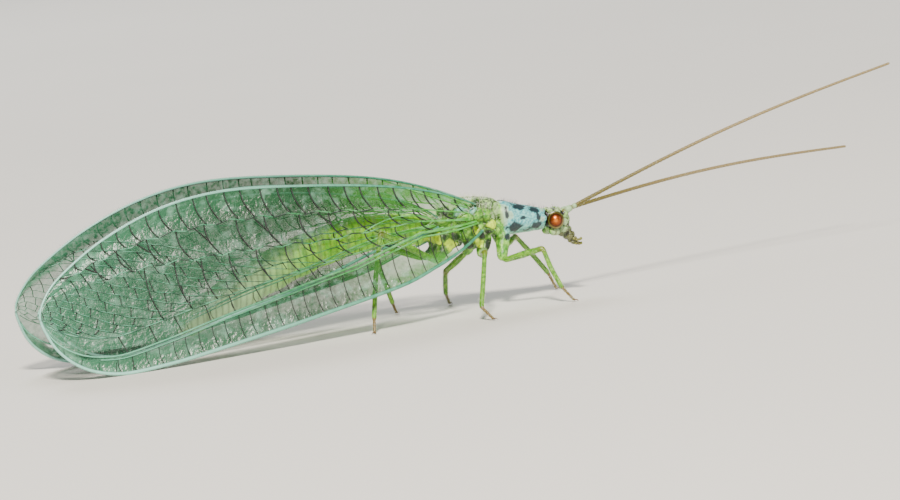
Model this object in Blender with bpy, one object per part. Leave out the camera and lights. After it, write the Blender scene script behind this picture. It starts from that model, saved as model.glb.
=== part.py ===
# Green lacewing at rest, with its wings folded like a roof over the abdomen, at its real size.
# The head looks along +X, its right side is -Y, and it stands on the plane z = 0.
# Sizes are in millimetres until a mesh is made, and Blender's units are metres.

import math

import bmesh
import bpy
import numpy as np
from mathutils import Matrix, Vector

MM = 0.001
GAP = 0.25  # between pieces that meet
SMALL_GAP = 0.12  # round an eye, where 0.25 would be half of the eye

# Stations of the body along X, each segment a gap from the one that carries it
MESOTHORAX_X = (-0.45, 0.85)
PROTHORAX_LENGTH = 1.10
METATHORAX_LENGTH = 0.72
PROTHORAX_X = (MESOTHORAX_X[1] + GAP, MESOTHORAX_X[1] + GAP + PROTHORAX_LENGTH)
METATHORAX_X = (MESOTHORAX_X[0] - GAP - METATHORAX_LENGTH, MESOTHORAX_X[0] - GAP)
# Underside, top and half width of each segment, at its front, middle and back
PROTHORAX_FORM = ((2.24, 2.20, 2.16), (2.94, 3.12, 3.32), (0.50, 0.60, 0.60))
MESOTHORAX_FORM = ((2.16, 1.86, 1.88), (3.40, 3.60, 3.64), (0.70, 0.90, 0.88))
METATHORAX_FORM = ((1.86, 1.88, 1.98), (3.60, 3.54, 3.32), (0.80, 0.62, 0.42))
ABDOMEN_START = (METATHORAX_X[0] - GAP, 2.58)  # x, z of its centre line
ABDOMEN_TIP = (-9.80, 0.66)
ABDOMEN_SAG = 0.95  # how far the middle of the abdomen rises over the straight line between its ends
ABDOMEN_RINGS = 9
ABDOMEN_HALF_WIDTH = 0.52
ABDOMEN_HALF_HEIGHT = 0.68

# Head
HEAD_HALF = (0.42, 0.54, 0.48)  # length, width, height
HEAD_CENTRE = (PROTHORAX_X[1] + GAP + HEAD_HALF[0], 0.0, 2.36)
EYE_CENTRE = (HEAD_CENTRE[0] - 0.18, 0.56, 2.48)
EYE_RADIUS = 0.26
MOUTH_TIP = (3.34, 0.0, 1.74)
PALP_TIP = (3.60, 0.20, 1.60)

# Antennae: each starts in front of the head, in this direction from its centre
ANTENNA_AIM = (0.62, 0.50, 0.60)
ANTENNA_STANDOFF = GAP + 0.08  # so that the edge of its blunt root keeps the gap too
RIGHT_ANTENNA_TIP = (14.52, -0.80, 5.86)
LEFT_ANTENNA_TIP = (14.48, 3.50, 2.98)
ANTENNA_BOW = 0.24  # how far the middle bows upwards
ANTENNA_RADIUS = 0.22
ANTENNA_TIP_RADIUS = 0.12
ANTENNA_POINTS = 14

# Wings: the middle surface of a forewing is at |y| = roof(x) + WING_LEAN * (RIDGE_HEIGHT - z)
RIDGE_HEIGHT = 5.2
WING_LEAN = 0.28
WING_THICKNESS = 0.45
VEIN_HEIGHT = 0.10  # of a main vein's ridge on the outer face, and half of it on the inner face
ROOT_HEIGHT = 3.0
# At the root the inner face is a gap from the side of the mesothorax
INNER_FACE = (WING_THICKNESS + VEIN_HEIGHT) / 2  # how far it stands in from the middle surface
ROOT_ROOF = MESOTHORAX_FORM[2][2] + GAP + INNER_FACE - WING_LEAN * (RIDGE_HEIGHT - ROOT_HEIGHT)
ROOF = ((-14.6, 0.67), (-6.7, 1.10), (-3.0, 1.15), (-1.4, 1.12), (-0.4, ROOT_ROOF + 0.04), (1.0, ROOT_ROOF))
HINDWING_INSIDE = ((-14.6, 0.80), (-3.2, 0.80), (-1.6, 0.76), (0.0, 0.74))  # distance in from the forewing
CROSSVEIN_HEIGHT = 0.05
VEIN_HALF_WIDTH = 0.11
FOREWING_COLUMNS = 31
HINDWING_COLUMNS = 27
# Margins of the wings as (x, z), from the root to the last column before the round apex
FORE_COSTAL = (
    (-0.22, 2.72), (-0.75, 2.32), (-1.47, 1.87), (-2.86, 1.42), (-5.65, 0.93), (-8.73, 0.42),
    (-10.9, 0.06), (-12.5, -0.05), (-13.5, 0.34), (-14.15, 0.98), (-14.46, 1.70),
)
FORE_HIND = (
    (-0.12, 3.33), (-1.0, 3.75), (-2.6, 4.30), (-5.7, 4.86), (-8.4, 5.09), (-10.3, 4.83),
    (-12.1, 4.18), (-13.3, 3.50), (-14.05, 2.92), (-14.50, 2.28),
)
HIND_COSTAL = (
    (-1.45, 2.82), (-2.1, 2.66), (-3.5, 2.62), (-5.5, 2.00), (-8.0, 1.30), (-10.4, 0.72),
    (-11.9, 0.48), (-12.9, 0.66), (-13.6, 1.15), (-13.95, 1.72),
)
HIND_HIND = (
    (-1.40, 3.30), (-2.2, 3.72), (-4.2, 4.30), (-6.4, 4.72), (-8.1, 4.78), (-9.7, 4.52),
    (-11.2, 3.95), (-12.6, 3.10), (-13.5, 2.45), (-13.95, 1.98),
)
# Main veins: how far each lies from the costal to the hind margin, at the root and on to the apex
FORE_VEINS = (
    ((0.0, 0.40), (0.15, 0.46), (0.30, 0.30), (0.50, 0.22), (0.80, 0.14), (1.0, 0.16)),
    ((0.0, 0.55), (0.15, 0.62), (0.35, 0.55), (0.60, 0.60), (0.80, 0.70), (1.0, 0.55)),
    ((0.0, 0.74), (0.15, 0.76), (0.35, 0.78), (0.60, 0.80), (0.80, 0.87), (1.0, 0.80)),
)
HIND_VEINS = (
    ((0.0, 0.30), (0.15, 0.22), (0.35, 0.20), (0.60, 0.16), (0.80, 0.12), (1.0, 0.16)),
    ((0.0, 0.50), (0.15, 0.48), (0.35, 0.50), (0.60, 0.56), (0.80, 0.66), (1.0, 0.50)),
    ((0.0, 0.72), (0.15, 0.72), (0.35, 0.74), (0.60, 0.78), (0.80, 0.86), (1.0, 0.80)),
)

# Legs: half thickness at the hip, hip's end, knee, ankle and foot, and those five places of each leg.
# A hip hangs a gap under the segment that carries it, at the height that is worked out here.
LEG_RADII = (0.28, 0.26, 0.25, 0.22, 0.16)
FOOT_HEIGHT = 0.10  # of the foot's centre line, under which it is cut flat at the floor
FORE_HIP = MESOTHORAX_FORM[0][0] - GAP - LEG_RADII[0]
MID_HIP = MESOTHORAX_FORM[0][1] - GAP - LEG_RADII[0]
HIND_HIP = METATHORAX_FORM[0][1] - GAP - LEG_RADII[0]
LEGS = {
    "foreleg_right": (
        (0.80, -0.42, FORE_HIP), (0.74, -0.72, 1.38), (1.84, -1.50, 1.82),
        (2.14, -1.80, 0.50), (2.50, -1.95, 0.0),
    ),
    "foreleg_left": (
        (0.80, 0.42, FORE_HIP), (0.84, 0.72, 1.36), (1.62, 1.35, 1.90),
        (2.62, 1.62, 0.55), (3.05, 1.72, 0.0),
    ),
    "midleg_right": (
        (-0.02, -0.42, MID_HIP), (-0.12, -0.75, 1.16), (-0.28, -2.0, 1.88),
        (-0.9, -2.95, 0.42), (-0.68, -3.35, 0.0),
    ),
    "midleg_left": (
        (-0.02, 0.42, MID_HIP), (-0.02, 0.72, 1.14), (-0.36, 1.55, 1.22),
        (-0.30, 2.05, 0.42), (-0.08, 2.38, 0.0),
    ),
    "hindleg_right": (
        (-1.05, -0.42, HIND_HIP), (-1.3, -0.66, 1.20), (-3.55, -1.25, 2.05),
        (-4.08, -1.72, 0.42), (-4.24, -2.02, 0.0),
    ),
    "hindleg_left": (
        (-1.05, 0.42, HIND_HIP), (-1.28, 0.66, 1.20), (-2.75, 1.22, 1.85),
        (-2.32, 1.78, 0.42), (-2.08, 2.14, 0.0),
    ),
}

# Colours as linear RGB, with roughness
COLOURS = {
    "cuticle_green": ((0.30, 0.52, 0.12), 0.5),
    "cuticle_pale_blue": ((0.38, 0.66, 0.70), 0.5),
    "abdomen_green": ((0.42, 0.62, 0.07), 0.5),
    "eye_orange": ((0.58, 0.10, 0.01), 0.2),
    "antenna_tan": ((0.36, 0.27, 0.10), 0.6),
    "leg_green": ((0.30, 0.50, 0.10), 0.5),
    "wing_membrane": ((0.30, 0.52, 0.42), 0.3),
}


def clear_scene():
    for item in list(bpy.data.objects):
        bpy.data.objects.remove(item, do_unlink=True)
    for mesh in list(bpy.data.meshes):
        bpy.data.meshes.remove(mesh)


def material_of(name):
    """One Principled material for each named colour."""
    known = bpy.data.materials.get(name)
    if known:
        return known
    colour, roughness = COLOURS[name]
    made = bpy.data.materials.new(name)
    made.use_nodes = True
    shader = made.node_tree.nodes["Principled BSDF"]
    shader.inputs["Base Color"].default_value = (*colour, 1.0)
    shader.inputs["Roughness"].default_value = roughness
    shader.inputs["Metallic"].default_value = 0.0
    return made


def smooth_curve(points, where):
    """A smooth curve through the points, read at the fractions in where of the way from first to last."""
    p = np.asarray(points, float)
    chord = np.sqrt(np.linalg.norm(np.diff(p, axis=0), axis=1))
    knots = np.concatenate([[0.0], np.cumsum(chord)])
    knots /= knots[-1]
    slopes = np.gradient(p, knots, axis=0, edge_order=2)
    where = np.asarray(where, float)
    i = np.clip(np.searchsorted(knots, where, side="right") - 1, 0, len(p) - 2)
    width = (knots[i + 1] - knots[i])[:, None]
    t = ((where - knots[i]) / width[:, 0])[:, None]
    return (
        (1 + 2 * t) * (1 - t) ** 2 * p[i]
        + t * (1 - t) ** 2 * width * slopes[i]
        + t * t * (3 - 2 * t) * p[i + 1]
        + t * t * (t - 1) * width * slopes[i + 1]
    )


def even_stations(points, count):
    """Fractions at which smooth_curve gives points evenly spaced along its length."""
    fine = np.linspace(0, 1, 400)
    line = smooth_curve(points, fine)
    run = np.concatenate([[0.0], np.cumsum(np.linalg.norm(np.diff(line, axis=0), axis=1))])
    return np.interp(np.linspace(0, 1, count) * run[-1], run, fine)


def new_object(name, points, faces):
    """An object in the scene from points in millimetres, its faces turned outwards."""
    mesh = bpy.data.meshes.new(name)
    mesh.from_pydata([tuple(p) for p in np.asarray(points) * MM], [], [tuple(f) for f in faces])
    bm = bmesh.new()
    bm.from_mesh(mesh)
    bmesh.ops.recalc_face_normals(bm, faces=bm.faces)
    bm.to_mesh(mesh)
    bm.free()
    made = bpy.data.objects.new(name, mesh)
    bpy.context.scene.collection.objects.link(made)
    return made


def ring_stack(rings):
    """Faces of a closed form from a stack of rings of equal count, between a point at each end."""
    stack, sides = rings.shape[0] - 2, rings.shape[1]
    points = np.concatenate([rings[:1, 0], rings[1:-1].reshape(-1, 3), rings[-1:, 0]])
    last = len(points) - 1
    faces = []
    for j in range(sides):
        k = (j + 1) % sides
        faces.append((0, 1 + k, 1 + j))
        faces.append((last, last - sides + j, last - sides + k))
        for i in range(stack - 1):
            a, b = 1 + i * sides, 1 + (i + 1) * sides
            faces.append((a + j, a + k, b + k, b + j))
    return points, faces


def loft(name, centres, half_widths, half_heights, sides=16, squareness=2.3, upright=True):
    """A closed body form: a squared ellipse carried along a line, upright or square to it."""
    centres = np.asarray(centres, float)
    if upright:
        up = np.array([(0.0, 0.0, 1.0)] * len(centres))
    else:
        along = np.gradient(centres, axis=0)
        along /= np.linalg.norm(along, axis=1)[:, None]
        up = np.stack([-along[:, 2], along[:, 1], along[:, 0]], 1)
        up *= np.sign(up[:, 2])[:, None]
    turn = np.linspace(0, 2 * math.pi, sides, endpoint=False) + math.pi / sides
    across = np.sign(np.cos(turn)) * np.abs(np.cos(turn)) ** (2 / squareness)
    lift = np.sign(np.sin(turn)) * np.abs(np.sin(turn)) ** (2 / squareness)
    side = np.array([0.0, 1.0, 0.0])
    rings = (
        centres[:, None]
        + np.asarray(half_widths)[:, None, None] * across[None, :, None] * side
        + np.asarray(half_heights)[:, None, None] * lift[None, :, None] * up[:, None]
    )
    return new_object(name, *ring_stack(rings))


def rounded(t, at_ends):
    """1 along the middle of a form and falling as a quarter circle over the last at_ends of each end."""
    inset = np.clip(np.minimum(t, 1 - t) / at_ends, 0, 1)
    return np.sqrt(1 - (1 - inset) ** 2)


def body_form(name, ends, form, face=0.62, at_ends=0.14, rings=11):
    """A body segment between two stations of X, with a flat face at each end, face times as wide as it is."""
    t = (1 - np.cos(np.linspace(0, math.pi, rings))) / 2
    x = ends[1] + (ends[0] - ends[1]) * t
    low, high, half_width = (np.interp(t, (0, 0.5, 1), three) for three in form)
    swell = face + (1 - face) * rounded(t, at_ends)
    t, x = np.concatenate([t[:1], t, t[-1:]]), np.concatenate([x[:1], x, x[-1:]])
    low, high = np.pad(low, 1, "edge"), np.pad(high, 1, "edge")
    half_width, swell = np.pad(half_width, 1, "edge"), np.pad(swell, 1)
    centres = np.stack([x, 0 * x, (low + high) / 2], 1)
    return loft(name, centres, half_width * swell, (high - low) / 2 * swell)


def capsule(name, start, end, start_radius, end_radius, sides=8):
    """A tapered rod with round ends."""
    start, end = np.asarray(start, float), np.asarray(end, float)
    along = (end - start) / np.linalg.norm(end - start)
    helper = np.array([0.0, 0.0, 1.0]) if abs(along[2]) < 0.8 else np.array([1.0, 0.0, 0.0])
    u = np.cross(along, helper)
    u /= np.linalg.norm(u)
    v = np.cross(along, u)
    turn = np.linspace(0, 2 * math.pi, sides, endpoint=False)
    circle = np.cos(turn)[:, None] * u + np.sin(turn)[:, None] * v
    rings = []
    for angle in (-90, -42, 0):
        a = math.radians(angle)
        centre = start + along * start_radius * math.sin(a)
        rings.append(centre + circle * start_radius * math.cos(a))
    for angle in (0, 42, 90):
        a = math.radians(angle)
        centre = end + along * end_radius * math.sin(a)
        rings.append(centre + circle * end_radius * math.cos(a))
    return new_object(name, *ring_stack(np.array(rings)))


def keep_largest(mesh):
    """Leaves the largest closed surface of a mesh, and no scrap or sealed hollow beside it."""
    bm = bmesh.new()
    bm.from_mesh(mesh)
    left, shells = set(bm.faces), []
    while left:
        shell, edge = set(), [left.pop()]
        while edge:
            face = edge.pop()
            shell.add(face)
            near = {other for line in face.edges for other in line.link_faces} & left
            left -= near
            edge.extend(near)
        shells.append(shell)
    largest = max(shells, key=lambda shell: sum(face.calc_area() for face in shell))
    spare = [face for shell in shells if shell is not largest for face in shell]
    bmesh.ops.delete(bm, geom=spare, context="FACES")
    bmesh.ops.remove_doubles(bm, verts=bm.verts, dist=1e-7)
    bmesh.ops.triangulate(bm, faces=bm.faces)
    bm.to_mesh(mesh)
    bm.free()


def combine(base, others, operation):
    """Joins the other objects to the base, or cuts them out of it, and removes them."""
    group = bpy.data.collections.new("to combine")
    for other in others:
        group.objects.link(other)
    change = base.modifiers.new(operation.lower(), "BOOLEAN")
    change.operation = operation
    change.operand_type = "COLLECTION"
    change.solver = "EXACT"
    change.collection = group
    bpy.context.view_layer.update()
    whole = bpy.data.meshes.new_from_object(base.evaluated_get(bpy.context.evaluated_depsgraph_get()))
    base.modifiers.remove(change)
    base.data = whole
    for other in others:
        bpy.data.objects.remove(other, do_unlink=True)
    bpy.data.collections.remove(group)
    keep_largest(whole)
    return base


def cut_at_floor(made):
    """Cuts away what is below the floor and closes the cut with a flat face."""
    bm = bmesh.new()
    bm.from_mesh(made.data)
    everything = list(bm.verts) + list(bm.edges) + list(bm.faces)
    bmesh.ops.bisect_plane(
        bm, geom=everything, dist=1e-7, plane_co=(0, 0, 0), plane_no=(0, 0, 1), clear_inner=True
    )
    rim = [edge for edge in bm.edges if len(edge.link_faces) == 1]
    bmesh.ops.holes_fill(bm, edges=rim, sides=0)
    bmesh.ops.recalc_face_normals(bm, faces=bm.faces)
    bmesh.ops.triangulate(bm, faces=bm.faces)
    bm.to_mesh(made.data)
    bm.free()
    return made


def finish(made, name, colour, collection):
    """Names a node, gives it its material and shading, and moves it to the object's collection."""
    made.name = name
    made.data.name = name
    made.data.materials.clear()
    made.data.materials.append(material_of(colour))
    made.data.shade_smooth()
    made.data.set_sharp_from_angle(angle=math.radians(35))
    for other in list(made.users_collection):
        other.objects.unlink(made)
    collection.objects.link(made)
    return made


def mirrored(point, side):
    """The point on the animal's left for side 1 and on its right for side -1."""
    return (point[0], abs(point[1]) * side, point[2])


def ball(name, centre, half):
    """An ellipsoid."""
    bm = bmesh.new()
    place = Matrix.Translation(Vector(centre) * MM) @ Matrix.Diagonal((*(h * MM for h in half), 1))
    bmesh.ops.create_uvsphere(bm, u_segments=16, v_segments=10, radius=1.0, matrix=place)
    mesh = bpy.data.meshes.new(name)
    bm.to_mesh(mesh)
    bm.free()
    made = bpy.data.objects.new(name, mesh)
    bpy.context.scene.collection.objects.link(made)
    return made


def make_head():
    """The capsule with its muzzle, jaws and four palps, and a round socket on each side for an eye."""
    x, y, z = HEAD_CENTRE
    head = ball("head", HEAD_CENTRE, HEAD_HALF)
    joined = [
        capsule("muzzle", (x + 0.05, y, z - 0.10), MOUTH_TIP, 0.40, 0.20, sides=10),
        capsule("brow", (x - 0.02, -0.22, z + 0.30), (x - 0.02, 0.22, z + 0.30), 0.20, 0.20),
    ]
    for side in (-1, 1):
        root = (MOUTH_TIP[0] - 0.12, 0.10 * side, MOUTH_TIP[2] + 0.05)
        elbow = (MOUTH_TIP[0] + 0.02, 0.24 * side, MOUTH_TIP[2] - 0.18)
        joined.append(capsule("palp", root, elbow, 0.11, 0.10))
        joined.append(capsule("palp", elbow, mirrored(PALP_TIP, side), 0.10, 0.07))
    combine(head, joined, "UNION")
    socket = EYE_RADIUS + SMALL_GAP
    sockets = [ball("socket", mirrored(EYE_CENTRE, side), (socket,) * 3) for side in (-1, 1)]
    return combine(head, sockets, "DIFFERENCE")


def antenna_root(side):
    """The place at the standoff from the head's surface, along the aim from its centre."""
    aim = np.array(ANTENNA_AIM) / np.linalg.norm(ANTENNA_AIM)
    reach = 1 / np.linalg.norm(aim / HEAD_HALF)
    return np.array(mirrored(HEAD_CENTRE + aim * (reach + ANTENNA_STANDOFF), side))


def make_antenna(name, side, tip):
    """A bowed, tapering feeler."""
    root = antenna_root(side)
    t = np.linspace(0, 1, ANTENNA_POINTS)
    line = np.outer(1 - t, root) + np.outer(t, tip)
    line[:, 2] += ANTENNA_BOW * np.sin(math.pi * t)
    radii = ANTENNA_RADIUS + (ANTENNA_TIP_RADIUS - ANTENNA_RADIUS) * t
    curve = bpy.data.curves.new(name, "CURVE")
    curve.dimensions = "3D"
    curve.bevel_depth = MM
    curve.bevel_resolution = 2
    curve.use_fill_caps = True
    spline = curve.splines.new("POLY")
    spline.points.add(len(t) - 1)
    for point, place, radius in zip(spline.points, line, radii):
        point.co = (*(place * MM), 1.0)
        point.radius = float(radius)
    made = bpy.data.objects.new(name, curve)
    bpy.context.scene.collection.objects.link(made)
    bpy.context.view_layer.update()
    mesh = bpy.data.meshes.new_from_object(made.evaluated_get(bpy.context.evaluated_depsgraph_get()))
    bpy.data.objects.remove(made, do_unlink=True)
    bm = bmesh.new()
    bm.from_mesh(mesh)
    bmesh.ops.remove_doubles(bm, verts=bm.verts, dist=1e-7)
    bmesh.ops.recalc_face_normals(bm, faces=bm.faces)
    bmesh.ops.triangulate(bm, faces=bm.faces)
    bm.to_mesh(mesh)
    bm.free()
    made = bpy.data.objects.new(name, mesh)
    bpy.context.scene.collection.objects.link(made)
    return made


def make_abdomen():
    """A long tube that arches and then droops, each ring of it a little narrower at its ends."""
    t = np.linspace(0, 1, 4 * ABDOMEN_RINGS + 1)
    start, tip = np.array(ABDOMEN_START), np.array(ABDOMEN_TIP)
    line = np.outer(1 - t, start) + np.outer(t, tip)
    line[:, 1] += ABDOMEN_SAG * np.sin(math.pi * t**0.8)
    centres = np.stack([line[:, 0], 0 * t, line[:, 1]], 1)
    joint = 1 - 0.07 * np.abs(np.cos(math.pi * ABDOMEN_RINGS * t)) ** 3
    plump = (0.72 + 0.28 * np.sin(math.pi * np.clip(t / 0.62, 0, 1) / 2)) * np.where(
        t > 0.62, np.cos((t - 0.62) / 0.38 * 1.05), 1.0
    )
    shape = joint * plump * rounded(t, 0.05)
    return loft("abdomen", centres, ABDOMEN_HALF_WIDTH * shape, ABDOMEN_HALF_HEIGHT * shape, 14, 2.2, False)


def make_leg(name):
    """Hip, thigh, shin and foot as tapered rods joined at their round ends, flat under the foot."""
    joints = [np.array(p) for p in LEGS[name]]
    joints[-1][2] = FOOT_HEIGHT
    rods = [
        capsule(f"{name} {i}", joints[i], joints[i + 1], LEG_RADII[i], LEG_RADII[i + 1] + 0.01)
        for i in range(len(joints) - 1)
    ]
    leg = combine(rods[0], rods[1:], "UNION")
    return cut_at_floor(leg)


def wing_grid(costal, hind, veins, columns):
    """Points (x, z) of a wing, and the height of its ridges, by column from the root and by row."""
    low = smooth_curve(costal, even_stations(costal, columns))
    high = smooth_curve(hind, even_stations(hind, columns))
    span = np.linspace(0, 1, columns)
    breadth = np.linalg.norm(high - low, axis=1)
    half = VEIN_HALF_WIDTH / breadth
    rows, heights = [0 * span, 1.5 * half], [1 + 0 * span, 0 * span]
    for vein in veins:
        at = np.interp(span, *np.transpose(vein))
        rows += [at - half, at, at + half]
        heights += [0 * span, 1 + 0 * span, 0 * span]
    rows += [1 - 1.5 * half, 1 + 0 * span]
    heights += [0 * span, 1 + 0 * span]
    across = np.sort(np.array(rows), axis=0).T
    ridge = VEIN_HEIGHT * np.array(heights).T
    crossed = np.arange(columns) % 2 == 1
    ridge[crossed] = np.maximum(ridge[crossed], CROSSVEIN_HEIGHT)
    place = low[:, None] + across[:, :, None] * (high - low)[:, None]
    return place, ridge


def make_wing(name, side, costal, hind, veins, columns, inside):
    """A leaning sheet with its veins raised in both faces, which are split into triangles alike."""
    place, ridge = wing_grid(costal, hind, veins, columns)
    x, z = place[..., 0], place[..., 1]
    roof = np.interp(x, *np.transpose(ROOF)) - (np.interp(x, *np.transpose(inside)) if inside else 0)
    y = roof + WING_LEAN * (RIDGE_HEIGHT - z)
    middle = np.stack([x, y * side, z], -1)
    outward = np.array([0.0, side, WING_LEAN]) / math.hypot(1, WING_LEAN)
    outer = middle + (WING_THICKNESS / 2 + ridge)[..., None] * outward
    inner = middle - (WING_THICKNESS / 2 + ridge / 2)[..., None] * outward
    count, rows = x.shape
    points = np.concatenate([outer.reshape(-1, 3), inner.reshape(-1, 3)])
    number = np.arange(count * rows).reshape(count, rows)
    a, b = number[:-1, :-1].ravel(), number[1:, :-1].ravel()
    c, d = number[1:, 1:].ravel(), number[:-1, 1:].ravel()
    top = np.concatenate([np.stack([a, b, c], 1), np.stack([a, c, d], 1)])
    under = top[:, ::-1] + count * rows
    rim = np.concatenate([number[:-1, 0], number[-1, :-1], number[:0:-1, -1], number[0, :0:-1]])
    after = np.roll(rim, -1)
    wall = np.stack([after, rim, rim + count * rows, after + count * rows], 1)
    faces = [*map(tuple, top.tolist()), *map(tuple, under.tolist()), *map(tuple, wall.tolist())]
    return cut_at_floor(new_object(name, points, faces))


def main():
    clear_scene()
    lacewing = bpy.data.collections.new("green lacewing")
    bpy.context.scene.collection.children.link(lacewing)

    finish(make_head(), "head", "cuticle_green", lacewing)
    for side, word in ((-1, "right"), (1, "left")):
        eye = ball("eye", mirrored(EYE_CENTRE, side), (EYE_RADIUS,) * 3)
        finish(eye, f"eye_{word}", "eye_orange", lacewing)
        tip = RIGHT_ANTENNA_TIP if side < 0 else LEFT_ANTENNA_TIP
        finish(make_antenna("antenna", side, tip), f"antenna_{word}", "antenna_tan", lacewing)
        forewing = make_wing(
            "forewing", side, FORE_COSTAL, FORE_HIND, FORE_VEINS, FOREWING_COLUMNS, None
        )
        finish(forewing, f"forewing_{word}", "wing_membrane", lacewing)
        hindwing = make_wing(
            "hindwing", side, HIND_COSTAL, HIND_HIND, HIND_VEINS, HINDWING_COLUMNS, HINDWING_INSIDE
        )
        finish(hindwing, f"hindwing_{word}", "wing_membrane", lacewing)

    for name, ends, form, colour in (
        ("prothorax", PROTHORAX_X, PROTHORAX_FORM, "cuticle_pale_blue"),
        ("mesothorax", MESOTHORAX_X, MESOTHORAX_FORM, "cuticle_green"),
        ("metathorax", METATHORAX_X, METATHORAX_FORM, "cuticle_green"),
    ):
        finish(body_form(name, ends, form), name, colour, lacewing)
    finish(make_abdomen(), "abdomen", "abdomen_green", lacewing)
    for name in LEGS:
        finish(make_leg(name), name, "leg_green", lacewing)


main()
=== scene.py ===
import math
import bpy
import numpy as np
from mathutils import Matrix, Vector


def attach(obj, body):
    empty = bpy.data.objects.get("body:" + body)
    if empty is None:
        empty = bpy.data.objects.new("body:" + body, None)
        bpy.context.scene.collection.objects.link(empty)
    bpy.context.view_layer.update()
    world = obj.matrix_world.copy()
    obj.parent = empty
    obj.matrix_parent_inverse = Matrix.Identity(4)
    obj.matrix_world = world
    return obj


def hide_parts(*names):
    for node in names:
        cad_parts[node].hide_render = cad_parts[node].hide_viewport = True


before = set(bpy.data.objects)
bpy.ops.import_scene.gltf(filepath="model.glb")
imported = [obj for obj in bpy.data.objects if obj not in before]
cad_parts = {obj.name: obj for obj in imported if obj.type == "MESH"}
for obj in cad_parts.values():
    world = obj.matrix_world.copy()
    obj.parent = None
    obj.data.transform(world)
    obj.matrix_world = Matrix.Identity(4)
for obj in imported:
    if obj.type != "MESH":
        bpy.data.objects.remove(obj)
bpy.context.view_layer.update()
mm = 0.001  # sizes below are in millimetres, and meshes are in metres
draw = np.random.default_rng(5)  # one seeded source for every random pick
bothSides = ((-1, "right"), (1, "left"))  # the sign of y, and the word in the nodes' names
print("lacewing: frame loaded")

# Camera: the photograph's angle, with the insect's right side and its tail towards the lens
view = {
    "yaw": 18.0,  # degrees that the lens is turned towards the head
    "down": 6.0,  # degrees that it looks down
    "roll": 7.0,
    "distance": 160.0,
    "target": (-0.754, 0.0, 2.002),
    "seenWidth": 28.35,  # of the picture, at the target
    "sensor": 36.0,
    "clip": (0.01, 20.0),  # metres
}


def placeCamera():
    # ahead is (sin yaw cos down, cos yaw cos down, -sin down); right and up are turned about it by roll
    yaw, down, roll = (math.radians(view[k]) for k in ("yaw", "down", "roll"))
    ahead = Vector((math.sin(yaw) * math.cos(down), math.cos(yaw) * math.cos(down), -math.sin(down)))
    right = ahead.cross(Vector((0, 0, 1))).normalized()
    up = right.cross(ahead)
    leaningRight = right * math.cos(roll) - up * math.sin(roll)
    leaningUp = up * math.cos(roll) + right * math.sin(roll)
    spot = Vector(view["target"]) * mm - ahead * view["distance"] * mm
    lens = bpy.data.cameras.new("camera")
    lens.sensor_width = view["sensor"]
    lens.lens = view["sensor"] * view["distance"] / view["seenWidth"]
    lens.clip_start, lens.clip_end = view["clip"]
    camera = bpy.data.objects.new("camera", lens)
    turned = Matrix((leaningRight, leaningUp, -ahead)).transposed()
    camera.matrix_world = Matrix.Translation(spot) @ turned.to_4x4()
    bpy.context.scene.collection.objects.link(camera)
    bpy.context.scene.camera = camera


placeCamera()


# Materials

def linear(hexText):
    # an sRGB hex colour turned to linear light: ((c + 0.055) / 1.055) ** 2.4 above the straight foot
    c = np.array([int(hexText[i:i + 2], 16) for i in (1, 3, 5)]) / 255
    c = np.where(c <= 0.04045, c / 12.92, ((c + 0.055) / 1.055) ** 2.4)
    return (*c.tolist(), 1.0)


def addNode(tree, kind, settings=None, links=None):
    # adds one node: names in small letters are its properties, capitals and numbers its sockets
    node = tree.nodes.new(kind)
    for key, value in (settings or {}).items():
        if isinstance(key, int) or key[0].isupper():
            node.inputs[key].default_value = value
        else:
            setattr(node, key, value)
    for key, source in (links or {}).items():
        tree.links.new(source, node.inputs[key])
    return node


def maskOf(tree, name):
    # the value that the piece's own attribute has at each point
    return addNode(tree, "ShaderNodeAttribute", {"attribute_name": name}).outputs["Fac"]


def grainNoise(tree, grain, detail=3.0):
    # noise whose lumps are about grain millimetres wide, fixed to the piece
    spot = addNode(tree, "ShaderNodeTexCoord")
    settings = {"Scale": 1 / (grain * mm), "Detail": detail, "Roughness": 0.55}
    return addNode(tree, "ShaderNodeTexNoise", settings, {"Vector": spot.outputs["Object"]}).outputs["Fac"]


def stretched(tree, value, low, high, toLow=0.0, toHigh=1.0):
    # value between low and high spread over toLow to toHigh, and held there outside
    settings = {"From Min": low, "From Max": high, "To Min": toLow, "To Max": toHigh}
    return addNode(tree, "ShaderNodeMapRange", settings, {"Value": value}).outputs[0]


def addBump(tree, shader, height, strength, depth):
    # tilts the normal by the slope of height; depth is in millimetres
    bump = addNode(
        tree, "ShaderNodeBump", {"Strength": strength, "Distance": depth * mm}, {"Height": height}
    )
    tree.links.new(bump.outputs[0], shader.inputs["Normal"])


def painted(tree, base, *layers):
    # a base colour with layers over it. A layer is the width of its grain in mm or the name of its mask, then
    # the values where it starts and ends to cover and the most that it covers, then its colour, which may
    # have layers of its own
    for source, *spread, over in layers:
        cover = maskOf(tree, source) if isinstance(source, str) else grainNoise(tree, source)
        if spread:
            low, high, most = spread
            cover = stretched(tree, cover, low, high, 0.0, most)
        if isinstance(over, tuple):
            over = painted(tree, *over)
        node = addNode(tree, "ShaderNodeMix", {"data_type": "RGBA"}, {0: cover})
        for number, colour in ((6, base), (7, over)):
            if isinstance(colour, str):
                node.inputs[number].default_value = linear(colour)
            else:
                tree.links.new(colour, node.inputs[number])
        base = node.outputs[2]
    return base


def makeFinish(name, sockets, base, *layers, bump=None):
    # one shader with these sockets set and a painted colour; bump is mm between lumps, strength and depth
    made = bpy.data.materials.new(name)
    made.use_nodes = True
    tree = made.node_tree
    tree.nodes.clear()
    shader = addNode(tree, "ShaderNodeBsdfPrincipled", sockets)
    addNode(tree, "ShaderNodeOutputMaterial", links={"Surface": shader.outputs[0]})
    tree.links.new(painted(tree, base, *layers), shader.inputs["Base Color"])
    if bump:
        addBump(tree, shader, grainNoise(tree, bump[0], 2.0), *bump[1:])
    return made


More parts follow.
